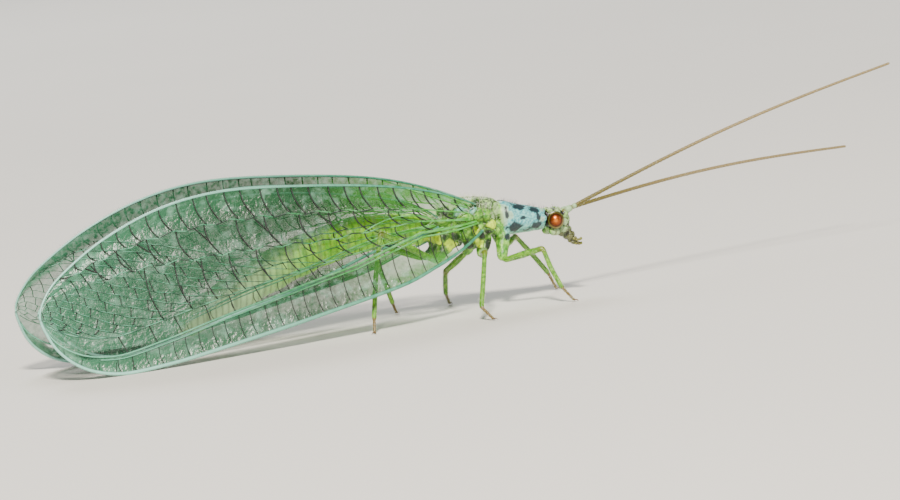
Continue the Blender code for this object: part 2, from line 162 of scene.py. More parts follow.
def chitin(name, rough, base, *layers, bump=None):
    # the insect's horny skin bends light a little more than plastic does
    return makeFinish(name, {"Roughness": rough, "IOR": 1.54}, base, *layers, bump=bump)


cuticle = {
    "green": ("#3f8c1c", "#92d048"),
    "abdomen": ("#72d404", "#a8f01c"),
    "tail": "#d8ffc6",
    "blue": ("#268c98", "#86d2cc"),
    "yellow": "#cbee14",
    "pale": "#b4cc9c",
    "brown": "#4c3c18",
    "slate": "#0e1822",
    "dark": "#10110f",
    "mottle": (0.14, 0.38, 0.62, 1.0),  # mm between lumps, where they start and end to cover, and the most
    "blueMottle": (0.07, 0.35, 0.62, 1.0),
    "pits": (0.022, 0.5, 0.01),  # mm between them, strength and depth
}


def bodyCuticle():
    # sclerotised chitin over green blood, grown as thin plates: a satin skin, mottled, with a pitted shine
    mottle = cuticle["mottle"]
    green, abdomen, blue = (cuticle[key] for key in ("green", "abdomen", "blue"))
    return chitin(
        "bodyCuticle", 0.4, green[0], (*mottle, green[1]),
        ("abdomen", (abdomen[0], (*mottle, abdomen[1]), ("tail", cuticle["tail"]))),
        ("blue", (blue[0], (*cuticle["blueMottle"], blue[1]))),
        *((key, cuticle[key]) for key in ("yellow", "pale", "brown", "slate", "dark")),
        bump=cuticle["pits"],
    )


eyeColours = {  # where each ring starts and ends to cover, from 0 in the middle to 1 at the rim
    # the middle colour is a painted highlight: a bright glint painted at the centre of the eye, which faces
    # the camera, fading into the copper of the first ring
    "middle": "#f08a24",
    "rings": (
        (0.05, 0.2, "#9a4a0c"), (0.24, 0.46, "#4e2208"), (0.5, 0.6, "#7e7228"), (0.68, 0.84, "#2c3018"),
    ),
    "facet": 0.026,  # mm; the real lenses are 0.02 mm wide, drawn a little coarser so that they show
}


def eyeFacets():
    # hundreds of lenses over a reflecting layer: copper in the middle, with a painted highlight, a bright
    # orange glint, at its very centre, gold round it, an olive rim
    gloss = {"Roughness": 0.3, "Metallic": 0.7, "Coat Weight": 0.25, "Coat Roughness": 0.05}
    rings = (("rim", low, high, 1.0, colour) for low, high, colour in eyeColours["rings"])
    made = makeFinish("eyeFacets", gloss, eyeColours["middle"], *rings)
    tree = made.node_tree
    spot = addNode(tree, "ShaderNodeTexCoord")
    settings = {"Scale": 1 / (eyeColours["facet"] * mm), "Randomness": 0.25}
    facets = addNode(tree, "ShaderNodeTexVoronoi", settings, {"Vector": spot.outputs["Object"]})
    addBump(tree, tree.nodes[0], facets.outputs["Distance"], 0.35, 0.005)
    return made


membrane = {
    "colours": ("#3f8c1c", "#12401c", "#3a7658"),  # at the root, over the middle and at the apex
    "clouds": "#8cc0a8",
    "opacity": (0.44, 0.6),  # at the root and at the apex, for each of the four sheets
    "opacityGrain": 0.16,
    "borderOpacity": 0.34,  # added towards both margins and over the forewing's costal field
    "clearing": 0.9,  # share of the opacity that goes where the abdomen lies behind
    "crinkle": 0.13,  # mm between creases
}


def wingMembrane():
    # two films of chitin a few thousandths of a millimetre thick: clear, tinted teal, with a crinkled gloss;
    # opacity is (root to apex + grain + border) * clear
    root, middle, apex = membrane["colours"]
    made = chitin(
        "wingMembrane", 0.27, root, ("along", 0.05, 0.35, 1.0, middle), ("along", 0.35, 1.0, 1.0, apex),
        (0.35, 0.5, 0.78, 0.5, membrane["clouds"]),
    )
    tree = made.node_tree
    crinkle = grainNoise(tree, membrane["crinkle"])
    total = stretched(tree, maskOf(tree, "along"), 0.1, 0.95, *membrane["opacity"])
    for operation, other in (
        ("ADD", stretched(tree, crinkle, 0.42, 0.72, 0.0, membrane["opacityGrain"])),
        ("ADD", stretched(tree, maskOf(tree, "border"), 0.0, 1.0, 0.0, membrane["borderOpacity"])),
        ("MULTIPLY", stretched(tree, maskOf(tree, "clear"), 0.0, 1.0, 1.0, 1 - membrane["clearing"])),
    ):
        total = addNode(tree, "ShaderNodeMath", {"operation": operation}, {0: total, 1: other}).outputs[0]
    tree.links.new(total, tree.nodes[0].inputs["Alpha"])
    addBump(tree, tree.nodes[0], crinkle, 0.8, 0.035)
    return made


horn = (0.25, 0.38, 0.64, 1.0)  # the faint lumps of plain chitin
finish = {
    "body": bodyCuticle(),
    "eye": eyeFacets(),
    "membrane": wingMembrane(),
    # the skin drawn into thin tubes: pale green, browner towards the foot
    "leg": chitin(
        "legCuticle", 0.38, "#427e0c", (0.1, 0.38, 0.64, 1.0, "#78b028"), ("brown", "#75582a"),
        ("dark", "#3f3420"), bump=(0.03, 0.4, 0.006),
    ),
    # a string of short drums: yellow-olive near the head, tan further out, a darker ring at each joint
    "antenna": chitin(
        "antennaCuticle", 0.5, "#5e560a", ("along", "#8c7a50"), ("pale", "#9dbf90"), ("dark", "#453a24"),
        bump=(0.03, 0.4, 0.006),
    ),
    # a hollow tube: bright green where blood fills it, teal further out, black where it is joined
    "longVein": chitin(
        "longVeinChitin", 0.32, "#45a020", ("along", 0.1, 0.45, 1.0, "#1f7848"),
        ("along", 0.45, 0.95, 1.0, "#66b096"), (0.2, 0.4, 0.7, 0.25, "#a4d8bc"), ("dark", "#16211d"),
    ),
    # the thick rim of the wing: teal near the root, almost white at the apex
    "marginVein": chitin(
        "marginVeinChitin", 0.3, "#2c8060", ("along", 0.2, 0.8, 1.0, "#94cfc0"),
        (0.2, 0.4, 0.7, 0.4, "#74b89c"),
    ),
    # chitin coloured through, with the sheen of horn
    "crossvein": chitin("crossveinChitin", 0.4, "#060907", (*horn, "#141a17")),
    "darkBristle": chitin("darkSeta", 0.45, "#1b1813", (*horn, "#3a342a")),
    "paleBristle": chitin("paleSeta", 0.45, "#c3caa8", (*horn, "#e6ead8")),
    "claw": chitin("clawHorn", 0.3, "#5a3a1c", (*horn, "#7a5228")),
}
print("lacewing: materials made")


# Making meshes

def smoothCurve(points, where):
    # cubic Hermite pieces through the points, slopes by central differences, knots by the root of the chord
    p = np.asarray(points, float)
    knots = np.concatenate([[0.0], np.cumsum(np.sqrt(np.linalg.norm(np.diff(p, axis=0), axis=1)))])
    knots /= knots[-1]
    slopes = np.gradient(p, knots, axis=0, edge_order=2)
    where = np.asarray(where, float)
    i = np.clip(np.searchsorted(knots, where, side="right") - 1, 0, len(p) - 2)
    width = (knots[i + 1] - knots[i])[..., None]
    t = (where - knots[i])[..., None] / width
    return (
        (1 + 2 * t) * (1 - t) ** 2 * p[i] + t * (1 - t) ** 2 * width * slopes[i]
        + t * t * (3 - 2 * t) * p[i + 1] + t * t * (t - 1) * width * slopes[i + 1]
    )


def evenCurve(points, count):
    # the same curve read at count places evenly spaced along its length
    line = smoothCurve(points, np.linspace(0, 1, 1200))
    run = distances(line)
    want = np.linspace(0, run[-1], count)
    return np.stack([np.interp(want, run, line[:, k]) for k in range(line.shape[1])], 1)


def unit(v):
    # each vector over its length
    return v / np.maximum(np.linalg.norm(v, axis=-1, keepdims=True), 1e-12)


def soft(value, low, high):
    # 0 below low, 1 above high, an S curve between
    t = np.clip((value - low) / (high - low), 0, 1)
    return t * t * (3 - 2 * t)


def bell(value, width, power=2):
    # 1 at 0 and less on both sides, as exp(-(value / width) ** power)
    return np.exp(-((value / width) ** power))


def ribs(t, count, power):
    # 1 at the ends of each of count equal parts of t and 0 between: |cos(pi * count * t)| ** power
    return np.abs(np.cos(math.pi * count * t)) ** power


def turns(count):
    # this many angles evenly round a circle
    return np.linspace(0, 2 * math.pi, count, endpoint=False)


def distances(line):
    # how far along the line each of its points lies: the running sum of the steps between them
    return np.concatenate([[0.0], np.cumsum(np.linalg.norm(np.diff(line, axis=0), axis=1))])


def gridQuads(rows, columns, closed=False):
    # the faces of a grid of points, joined round each row if it is a closed ring
    n = np.arange(rows * columns).reshape(rows, columns)
    if closed:
        n = np.concatenate([n, n[:, :1]], 1)
    return np.stack([n[:-1, :-1], n[1:, :-1], n[1:, 1:], n[:-1, 1:]], -1).reshape(-1, 4)


def putMesh(name, points, faceSets, material, masks=None, smooth=True):
    # one object from points in millimetres and arrays of faces, with a value at each point for each mask
    mesh = bpy.data.meshes.new(name)
    mesh.vertices.add(len(points))
    mesh.vertices.foreach_set("co", (np.asarray(points) * mm).astype(np.float32).ravel())
    corners = np.concatenate([f.ravel() for f in faceSets]).astype(np.int32)
    perFace = np.concatenate([np.full(len(f), f.shape[1]) for f in faceSets])
    mesh.loops.add(len(corners))
    mesh.loops.foreach_set("vertex_index", corners)
    mesh.polygons.add(len(perFace))
    starts = np.concatenate([[0], np.cumsum(perFace)[:-1]])
    mesh.polygons.foreach_set("loop_start", starts.astype(np.int32))
    mesh.polygons.foreach_set("use_smooth", np.full(len(perFace), smooth))
    mesh.update(calc_edges=True)
    for key, values in (masks or {}).items():
        layer = mesh.attributes.new(key, "FLOAT", "POINT")
        layer.data.foreach_set("value", np.asarray(values, np.float32).ravel())
    mesh.materials.append(material)
    made = bpy.data.objects.new(name, mesh)
    bpy.context.scene.collection.objects.link(made)
    return made


def sweepTubes(paths, radii, beside, sides=6, flat=1.0):
    # a ring of points round each point of each path, in the plane across it: paths are (tubes, points, 3),
    # radii (tubes, points), beside a direction that no path runs along, and flat squeezes the ring along it
    along = unit(np.gradient(paths, axis=1))
    first = unit(np.cross(np.broadcast_to(beside, paths.shape), along))
    second = np.cross(along, first)
    turn = turns(sides)
    ring = np.cos(turn)[:, None] * first[:, :, None] + flat * np.sin(turn)[:, None] * second[:, :, None]
    points = paths[:, :, None] + radii[:, :, None, None] * ring
    tubes, count = paths.shape[:2]
    size = count * sides
    quads = gridQuads(count, sides, closed=True)
    quads = (quads[None] + (np.arange(tubes) * size)[:, None, None]).reshape(-1, 4)
    start = np.arange(sides)[::-1][None] + (np.arange(tubes) * size)[:, None]
    end = np.arange(size - sides, size)[None] + (np.arange(tubes) * size)[:, None]
    return points.reshape(-1, 3), [quads[:, ::-1], start[:, ::-1], end[:, ::-1]]


def outwards(points, faceSets):
    # turns every face round if the volume that they enclose comes out negative
    volume = 0.0
    for f in faceSets:
        for k in range(1, f.shape[1] - 1):
            a, b, c = points[f[:, 0]], points[f[:, k]], points[f[:, k + 1]]
            volume += np.einsum("ij,ij->", a, np.cross(b, c))
    return [f[:, ::-1] for f in faceSets] if volume < 0 else faceSets


def joinMeshes(parts):
    # several (points, faceSets) as one
    points, faces, start = [], [], 0
    for p, sets in parts:
        points.append(p)
        faces += [f + start for f in sets]
        start += len(p)
    return np.concatenate(points), faces


def bristles(roots, directions, lengths, width):
    # a closed three-sided spike for each root, sunk a little into what it grows from
    directions = unit(directions)
    helper = np.where(np.abs(directions[:, 2:3]) < 0.8, [[0.0, 0.0, 1.0]], [[1.0, 0.0, 0.0]])
    first = unit(np.cross(directions, helper))
    second = np.cross(directions, first)
    turn = np.array([0, 2, 4]) * math.pi / 3
    base = roots - directions * 0.02
    ring = base[:, None] + width / 2 * (
        np.cos(turn)[None, :, None] * first[:, None] + np.sin(turn)[None, :, None] * second[:, None]
    )
    tip = roots + directions * np.asarray(lengths)[:, None]
    points = np.concatenate([ring, tip[:, None]], 1).reshape(-1, 3)
    shape = np.array([[0, 2, 1], [0, 1, 3], [1, 2, 3], [2, 0, 3]])
    faces = (shape[None] + 4 * np.arange(len(roots))[:, None, None]).reshape(-1, 3)
    return points, outwards(points, [faces])


def place(piece, slot, *nodes):
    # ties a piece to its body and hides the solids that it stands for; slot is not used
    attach(piece, "root")
    if nodes:
        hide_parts(*nodes)


def addPiece(name, shape, material, slot, *nodes, masks=None, smooth=True):
    # a closed piece with its faces turned outwards and nothing of it below the floor
    points, faces = shape
    points[:, 2] = np.maximum(points[:, 2], 0.0)
    place(putMesh(name, points, outwards(points, faces), finish[material], masks, smooth), slot, *nodes)


# Wings: each is a leaning sheet, |y| = roof(x) + lean * (ridge - z), with s from root to tip and v from
# the costal (lower) margin to the hind (upper) margin. Outlines are x and z, veins are s and v

roof = {
    "lean": 0.28,
    "ridge": 5.2,
    "fore": (
        (-14.6, 0.67), (-6.7, 1.1), (-3.0, 1.15), (-1.6, 1.07), (-0.8, 0.8), (-0.3, 0.5), (0.2, 0.1),
    ),
    "inside": ((-14.6, 0.8), (-3.2, 0.8), (-1.6, 0.66), (0.0, 0.55)),
}
foreWing = {
    "name": "forewing",
    "inside": False,
    "costal": (
        (0.1, 2.58), (-0.56, 2.3), (-1.2, 2.04), (-1.9, 1.79), (-2.86, 1.46), (-5.65, 0.93), (-8.73, 0.42),
        (-10.9, 0.12), (-12.5, 0.07), (-13.5, 0.4), (-14.15, 1.0), (-14.46, 1.7), (-14.52, 1.99),
    ),
    "hind": (
        (0.02, 3.42), (-1.0, 3.9), (-2.6, 4.4), (-5.7, 4.9), (-8.4, 5.09), (-10.3, 4.83),
        (-12.1, 4.18), (-13.3, 3.5), (-14.05, 2.92), (-14.47, 2.3), (-14.52, 2.01),
    ),
    "subcosta": ((0.0, 0.33), (0.15, 0.41), (0.3, 0.27), (0.5, 0.195), (0.8, 0.115), (1.0, 0.1)),
    "radius": ((0.0, 0.4), (0.15, 0.46), (0.3, 0.3), (0.5, 0.22), (0.8, 0.14), (1.0, 0.12)),
    "sector": ((0.1, 0.47), (0.22, 0.43), (0.4, 0.36), (0.6, 0.31), (0.8, 0.28), (1.0, 0.36)),
    "media": ((0.0, 0.52), (0.15, 0.6), (0.35, 0.55), (0.6, 0.6), (0.8, 0.72), (1.0, 0.9)),
    "cubitus": ((0.0, 0.66), (0.15, 0.75), (0.35, 0.78), (0.6, 0.8), (0.8, 0.87), (1.0, 0.95)),
    "gaps": {"costal": 0.42, "radial": 0.8, "medial": 0.85, "hind": 0.5},  # mm between crossveins
    "branches": 14,
    "thickness": 1.0,
}
hindWing = {
    "name": "hindwing",
    "inside": True,
    "costal": (
        (-1.36, 2.92), (-2.1, 2.72), (-3.5, 2.48), (-5.5, 1.88), (-8.0, 1.3), (-10.4, 0.72),
        (-11.9, 0.48), (-12.9, 0.66), (-13.6, 1.15), (-13.96, 1.72), (-14.0, 1.86),
    ),
    "hind": (
        (-1.32, 3.2), (-2.2, 3.8), (-4.2, 4.36), (-6.4, 4.72), (-8.1, 4.78), (-9.7, 4.52),
        (-11.2, 3.95), (-12.6, 3.1), (-13.5, 2.45), (-13.96, 1.98), (-14.0, 1.88),
    ),
    "subcosta": ((0.0, 0.24), (0.15, 0.18), (0.35, 0.15), (0.6, 0.115), (0.8, 0.09), (1.0, 0.08)),
    "radius": ((0.0, 0.3), (0.15, 0.22), (0.35, 0.18), (0.6, 0.14), (0.8, 0.11), (1.0, 0.1)),
    "sector": ((0.1, 0.25), (0.25, 0.3), (0.4, 0.3), (0.6, 0.27), (0.8, 0.26), (1.0, 0.3)),
    "media": ((0.0, 0.5), (0.15, 0.48), (0.35, 0.5), (0.6, 0.56), (0.8, 0.68), (1.0, 0.85)),
    "cubitus": ((0.0, 0.72), (0.15, 0.72), (0.35, 0.74), (0.6, 0.78), (0.8, 0.86), (1.0, 0.94)),
    "gaps": {"costal": 0.7, "radial": 1.05, "medial": 0.95, "hind": 0.56},
    "branches": 12,
    "thickness": 0.85,
}
wingSize = {
    "columns": 170,
    "rows": 64,
    "tall": {-1: 0.988, 1: 1.026},  # the left pair is folded a little higher than the right
    "flute": 0.04,  # how far the membrane sinks between two long veins
    "margin": 0.05,  # radii of the veins
    "long": 0.026,
    "cross": 0.021,
    "veinSides": 6,
    "zigzag": 0.011,  # of the two inner veins, as a share of the wing's breadth
    "hair": (0.07, 0.14),
    "hairWidth": 0.009,
    "fringe": 260,  # hairs along each margin
    "crossPoints": 7,  # points along each crossvein
    "branchPoints": 40,
    # the clear part of the sheets in front of the abdomen: its middle height at x, and half its height at x
    "window": ((-10.2, 0.72), (-9.3, 1.05), (-7.9, 1.8), (-5.8, 2.62), (-3.6, 2.98), (-1.0, 2.8)),
    "windowHalf": ((-10.8, 0.1), (-9.9, 0.52), (-5.0, 0.62), (0.0, 0.7)),
}


def wingPlace(wing, side, s, v, lift=0.0):
    # the point of the sheet at s and v: straight across from margin to margin, then moved out by lift
    s, v = np.broadcast_arrays(np.asarray(s, float), np.asarray(v, float))
    low, high = wing["lowEdge"], wing["highEdge"]
    steps = np.linspace(0, 1, len(low))
    x = np.interp(s, steps, low[:, 0]) * (1 - v) + np.interp(s, steps, high[:, 0]) * v
    z = np.interp(s, steps, low[:, 1]) * (1 - v) + np.interp(s, steps, high[:, 1]) * v
    z = z * wingSize["tall"][side]
    y = np.interp(x, *np.transpose(roof["fore"])) + roof["lean"] * (roof["ridge"] - z)
    if wing["inside"]:
        y = y - np.interp(x, *np.transpose(roof["inside"]))
    return np.stack([x, y * side, z], -1) + np.asarray(lift)[..., None] * wingNormal(side)


def wingNormal(side):
    # the sheet leans by the same angle all over, so it has one normal
    return np.array([0.0, side, roof["lean"]]) / math.hypot(1, roof["lean"])


def veinLine(wing, name, s):
    # where a named vein lies at s; the two inner veins step up and down between their crossveins
    v = np.interp(s, *np.transpose(wing[name]))
    if name in ("media", "cubitus"):
        steps = np.abs((np.asarray(s) * 34) % 2 - 1) * 2 - 1
        v = v + wingSize["zigzag"] * steps * soft(s, 0.12, 0.3)
    return v


def level(height):
    # the line v = height
    return lambda s: height + 0 * s


def vein(wing, name):
    # the line of a named vein, v = veinLine(s)
    return lambda s: veinLine(wing, name, s)


def follow(line, start, end, count=140):
    # one vein that follows line(s) from start to end
    s = np.linspace(start, end, count)
    return np.stack([s, line(s)], -1)[None]


def ladder(wing, gap, start, end, lower, upper, slant, bow=0.0):
    # crossveins from lower(s) to upper(s), one about every gap mm; each leans by slant gaps and is bowed
    span = np.linalg.norm(np.diff(wing["highEdge"], axis=0), axis=1).sum()
    count = max(2, int((end - start) * span / gap))
    first = np.linspace(start, end, count) + draw.uniform(-0.1, 0.1, count) * gap / span
    last = first + (slant + draw.uniform(-0.1, 0.1, count)) * gap / span
    t = np.linspace(0, 1, wingSize["crossPoints"])
    s = first[:, None] * (1 - t) + last[:, None] * t + bow * gap / span * np.sin(math.pi * t)
    v = lower(first)[:, None] * (1 - t) + upper(np.clip(last, 0, 1))[:, None] * t
    return np.stack([np.clip(s, 0, 1), v], -1)


def forks(lines, reach):
    # the second prong of every other crossvein, from its middle to reach further along the same edge
    t = np.linspace(0, 1, 5)[None, :, None]
    root, end = lines[::2, wingSize["crossPoints"] // 2][:, None], lines[::2, -1][:, None]
    prong = root * (1 - t) + (end + [reach, 0]) * t
    return np.stack([np.clip(prong[..., 0], 0, 1), prong[..., 1]], -1)


def fan(wing):
    # branches of the radial sector, each leaving it and sinking to the outer margin as t ** 1.5
    k = np.linspace(0, 1, wing["branches"])
    t = np.linspace(0, 1, wingSize["branchPoints"])
    rim = 0.992  # of s, where a branch runs into the margin
    start, end = 0.34 + 0.56 * k, 0.8 + 0.3 * k**0.9
    s = start[:, None] + (end - start)[:, None] * t
    base = veinLine(wing, "sector", start)[:, None]
    v = base + (1.0 - base) * t**1.5
    v = v + 0.004 * np.sin(s * 95 + 2.4 * k[:, None] * len(k)) * np.sin(math.pi * t)
    past = s > rim
    stop = v[np.arange(len(k)), np.argmax(past, axis=1)][:, None]
    return np.stack([np.minimum(s, rim), np.where(past, stop, v)], -1)


def bricks(branches, fractions):
    # short crossveins from each branch to the next, in rows at these fractions of their length
    rows = []
    for number, fraction in enumerate(fractions):
        i = int(fraction * (wingSize["branchPoints"] - 1))
        lower, upper = branches[number % 2:-1, i], branches[number % 2 + 1:, max(i - 4, 0)]
        t = np.linspace(0, 1, 4)[None, :, None]
        rows.append(lower[:, None] * (1 - t) + upper[:, None] * t)
    return np.concatenate(rows)


def wingVeins(wing):
    # every vein as (kind, thickness, array of veins by points by s and v, how black it is where it is joined)
    gap = wing["gaps"]
    edge, inner = level(0.0), vein(wing, "subcosta")
    radius, sector = vein(wing, "radius"), vein(wing, "sector")
    media, cubitus, hind = vein(wing, "media"), vein(wing, "cubitus"), level(1.0)
    hindRungs = ladder(wing, gap["hind"], 0.04, 0.88, cubitus, hind, 0.55, 0.18)
    middleRungs = ladder(wing, gap["medial"], 0.07, 0.8, media, cubitus, 0.4, 0.15)
    branches = fan(wing)
    rear = (
        ((0.03, 0.8), (0.08, 0.88), (0.17, 1.0)), ((0.02, 0.88), (0.05, 0.94), (0.09, 1.0)),
        ((0.03, 0.49), (0.08, 0.55), (0.16, 0.6)), ((0.12, 0.6), (0.18, 0.68), (0.27, 0.57)),
    )
    return [
        ("margin", 1.15, follow(level(0.004), 0.0, 1.0, 200), 0.0),
        ("margin", 0.8, follow(level(0.996), 0.0, 1.0, 200), 0.0),
        ("long", 1.2, follow(inner, 0.008, 0.84), 0.0),
        ("long", 1.7, follow(radius, 0.012, 0.97), 0.0),
        ("long", 0.85, follow(sector, 0.1, 0.97), 0.7),
        ("long", 0.95, follow(media, 0.03, 0.82, 240), 0.95),
        ("long", 0.95, follow(cubitus, 0.03, 0.9, 240), 0.95),
        ("long", 0.9, np.array([smoothCurve(r, np.linspace(0, 1, 16)) for r in rear]), 0.2),
        ("long", 0.55, branches, 0.8),
        ("cross", 0.75, ladder(wing, gap["costal"], 0.02, 0.8, edge, inner, 0.25, 0.12), 1.0),
        ("cross", 1.0, ladder(wing, gap["radial"], 0.16, 0.78, radius, sector, 0.2), 1.0),
        ("cross", 1.2, ladder(wing, gap["radial"], 0.13, 0.7, sector, media, 0.4, 0.15), 1.0),
        ("cross", 1.25, middleRungs, 1.0),
        ("cross", 1.1, forks(middleRungs[4:], 0.022), 1.0),
        ("cross", 1.2, hindRungs, 1.0),
        ("cross", 0.9, bricks(branches, (0.24, 0.38, 0.52, 0.65, 0.77, 0.88)), 1.0),
        ("cross", 0.65, ladder(wing, 0.42, 0.86, 0.985, level(0.9), hind, 0.2), 1.0),
        ("cross", 0.65, ladder(wing, 0.42, 0.78, 0.985, edge, level(0.09), -0.1), 1.0),
    ]


def makeMembrane(wing, side, word):
    # the sheet sinks between two long veins as the sine of the way from one to the next
    s = np.linspace(0, 1, wingSize["columns"])[:, None]
    v = np.linspace(0, 1, wingSize["rows"])[None]
    levels = [0 * s, *(veinLine(wing, key, s) for key in ("radius", "media", "cubitus")), 1 + 0 * s]
    sink = 0 * s * v
    for low, high in zip(levels[:-1], levels[1:]):
        way = (v - low) / (high - low)
        sink = np.where((way >= 0) & (way < 1), np.sin(math.pi * way), sink)
    sag = wingSize["flute"] * sink * (0.75 + 0.25 * np.abs(np.sin(s * 84))) * soft(1 - s, 0, 0.1)
    points = wingPlace(wing, side, s, v, -sag)
    quads = gridQuads(*sink.shape)
    quads = quads if side > 0 else quads[:, ::-1]
    middle, half = (
        np.interp(points[..., 0], *np.transpose(wingSize[key])) for key in ("window", "windowHalf")
    )
    window = 1 - soft(np.abs(points[..., 2] - middle) / half, 0.8, 1.2)
    costalField = 1 - soft(v / veinLine(wing, "subcosta", s), 0.85, 1.1)
    costalField = costalField * soft(s, 0.14, 0.32) * (not wing["inside"])
    margins = 1 - soft(np.minimum(v, 1 - v), 0.07, 0.2)
    masks = {
        "along": s + 0 * v,
        "clear": window * (1 - costalField),
        "border": np.maximum(margins, 0.85 * costalField),
    }
    name = f"{wing['name']}Membrane_{word}"
    sheet = putMesh(name, points.reshape(-1, 3), [quads], finish["membrane"], masks)
    place(sheet, "wing", f"{wing['name']}_{word}")


def makeVeins(wing, side, word):
    # a flattened tube along each vein, thinner towards the apex, and hairs on the long veins and margins
    sides = wingSize["veinSides"]
    shapes = {"margin": [], "long": [], "cross": []}
    hairRoots, hairAims = [], []
    for kind, thickness, lines, black in wingVeins(wing):
        s, v = lines[..., 0], lines[..., 1]
        path = wingPlace(wing, side, s, v)
        radii = wingSize[kind] * thickness * wing["thickness"]
        taper = {"margin": 0.75 + 0.35 * np.sin(math.pi * s), "long": 1 - 0.45 * s, "cross": 1 - 0.25 * s}
        tube = sweepTubes(path, radii * taper[kind], wingNormal(side), sides, 0.8)
        joints = np.abs(np.sin(s * 53 + 9 * v)) ** 2
        shade = black * soft(joints, 0.35, 0.8) * soft(s, 0.1, 0.22)
        shapes[kind].append((*tube, np.repeat(np.stack([s, shade], -1).reshape(-1, 2), sides, 0)))
        if kind == "long" and thickness > 0.8:
            picks = path[:, 2::3].reshape(-1, 3)
            hairRoots.append(picks)
            hairAims.append(wingNormal(side) + 0.5 * draw.normal(size=picks.shape) - [0.6, 0, 0])
    names = {"margin": "marginVein", "long": "longVein", "cross": "crossvein"}
    for kind, parts in shapes.items():
        masks = np.concatenate([part[2] for part in parts])
        addPiece(
            f"{wing['name']}_{names[kind]}_{word}", joinMeshes([part[:2] for part in parts]), names[kind],
            "wing", masks={"along": masks[:, 0], "dark": masks[:, 1]},
        )
    # fringe: hairs along both margins, pointing out of the wing and towards its tip
    for edge in (0.0, 1.0):
        at = np.linspace(0.02, 0.995, wingSize["fringe"])
        here = wingPlace(wing, side, at, edge + 0 * at)
        within = wingPlace(wing, side, at, abs(edge - 0.03) + 0 * at)
        hairRoots.append(here)
        hairAims.append(unit(here - within) + [-0.9, 0, 0] + 0.15 * draw.normal(size=here.shape))
    roots, aims = np.concatenate(hairRoots), np.concatenate(hairAims)
    hairs = bristles(roots, aims, draw.uniform(*wingSize["hair"], len(roots)), wingSize["hairWidth"])
    addPiece(f"{wing['name']}Hairs_{word}", hairs, "darkBristle", "wing", smooth=False)


for wing in (foreWing, hindWing):
    wing["lowEdge"], wing["highEdge"] = evenCurve(wing["costal"], 900), evenCurve(wing["hind"], 900)
    for side, word in bothSides:
        makeMembrane(wing, side, word)
        makeVeins(wing, side, word)
print("lacewing: wings made")


# Body: balls, rods and barrels are joined into one skin

body = {
    "voxel": 0.03,
    "abdomenStart": (-1.28, 2.62),
    "abdomenTip": (-9.92, 0.8),
    "abdomenRise": 0.88,
    "abdomenWidth": 0.52,  # half of it, and half its height
    "abdomenHeight": 0.64,
    "abdomenWidest": 0.62,  # share of its length where that is
    "abdomenBase": 0.72,  # share of its width at the base
    "abdomenEnds": 0.05,  # share of its length that each end is rounded over
    "rings": 9,
    "pleats": 42,  # fine folds along the abdomen
    "suture": 0.022,  # mm, half the width of a seam between two plates
    "sides": 40,  # of the abdomen and the collar
    "furrowFrom": 0.9,  # x where the plates end and the collar starts
}
# centre and half sizes of each lump; one that isn't in the middle has a twin on the other side
lumps = (
    ((2.8, 0.0, 2.41), (0.36, 0.44, 0.4)),  # head
    ((3.0, 0.0, 2.4), (0.33, 0.3, 0.35)),  # face
    ((2.64, 0.15, 2.78), (0.12, 0.12, 0.09)),  # knobs of the crown
    ((2.9, 0.13, 2.77), (0.13, 0.11, 0.09)),
    ((2.7, 0.32, 2.12), (0.22, 0.15, 0.15)),  # cheeks
    ((3.02, 0.26, 2.12), (0.16, 0.12, 0.14)),
    ((3.14, 0.15, 2.62), (0.12, 0.12, 0.12)),  # socket of an antenna
    ((3.2, 0.0, 2.1), (0.15, 0.22, 0.12)),  # shield above the lip
    ((3.32, 0.0, 1.9), (0.12, 0.18, 0.13)),  # upper lip
    ((3.22, 0.17, 1.86), (0.13, 0.09, 0.14)),  # jaws
    ((3.32, 0.14, 1.72), (0.11, 0.08, 0.1)),
    ((3.4, 0.0, 1.66), (0.11, 0.12, 0.09)),  # lower lip
    ((2.34, 0.28, 2.79), (0.12, 0.15, 0.11)),  # knobs at the front of the collar
    ((2.28, 0.44, 2.58), (0.16, 0.14, 0.12)),
    ((0.12, 0.0, 2.86), (0.8, 0.78, 0.72)),  # mesothorax
    ((0.52, 0.32, 3.26), (0.36, 0.3, 0.25)),
    ((0.06, 0.4, 3.36), (0.34, 0.32, 0.22)),
    ((0.82, 0.0, 3.14), (0.24, 0.34, 0.2)),
    ((-0.3, 0.0, 3.44), (0.24, 0.3, 0.19)),
    ((0.42, 0.6, 2.66), (0.26, 0.27, 0.3)),  # side plates
    ((0.74, 0.42, 2.48), (0.17, 0.22, 0.22)),
    ((0.06, 0.6, 2.42), (0.22, 0.28, 0.38)),
    ((0.25, 0.64, 2.02), (0.12, 0.12, 0.12)),
    ((-0.28, 0.58, 2.42), (0.25, 0.26, 0.42)),
    ((0.0, 0.24, 2.22), (0.26, 0.24, 0.2)),
    ((-0.92, 0.0, 2.82), (0.62, 0.58, 0.64)),  # metathorax
    ((-0.8, 0.26, 3.26), (0.32, 0.28, 0.22)),
    ((-1.26, 0.0, 3.16), (0.22, 0.26, 0.18)),
    ((-0.78, 0.44, 2.48), (0.24, 0.27, 0.4)),
    ((-1.14, 0.38, 2.44), (0.22, 0.25, 0.38)),
    ((0.22, 0.78, 3.0), (0.24, 0.18, 0.17)),  # roots of the wings
    ((-0.06, 0.92, 3.2), (0.22, 0.15, 0.13)),
    ((-0.44, 0.96, 3.08), (0.26, 0.2, 0.14)),
    ((-1.22, 0.7, 3.04), (0.28, 0.22, 0.13)),
)
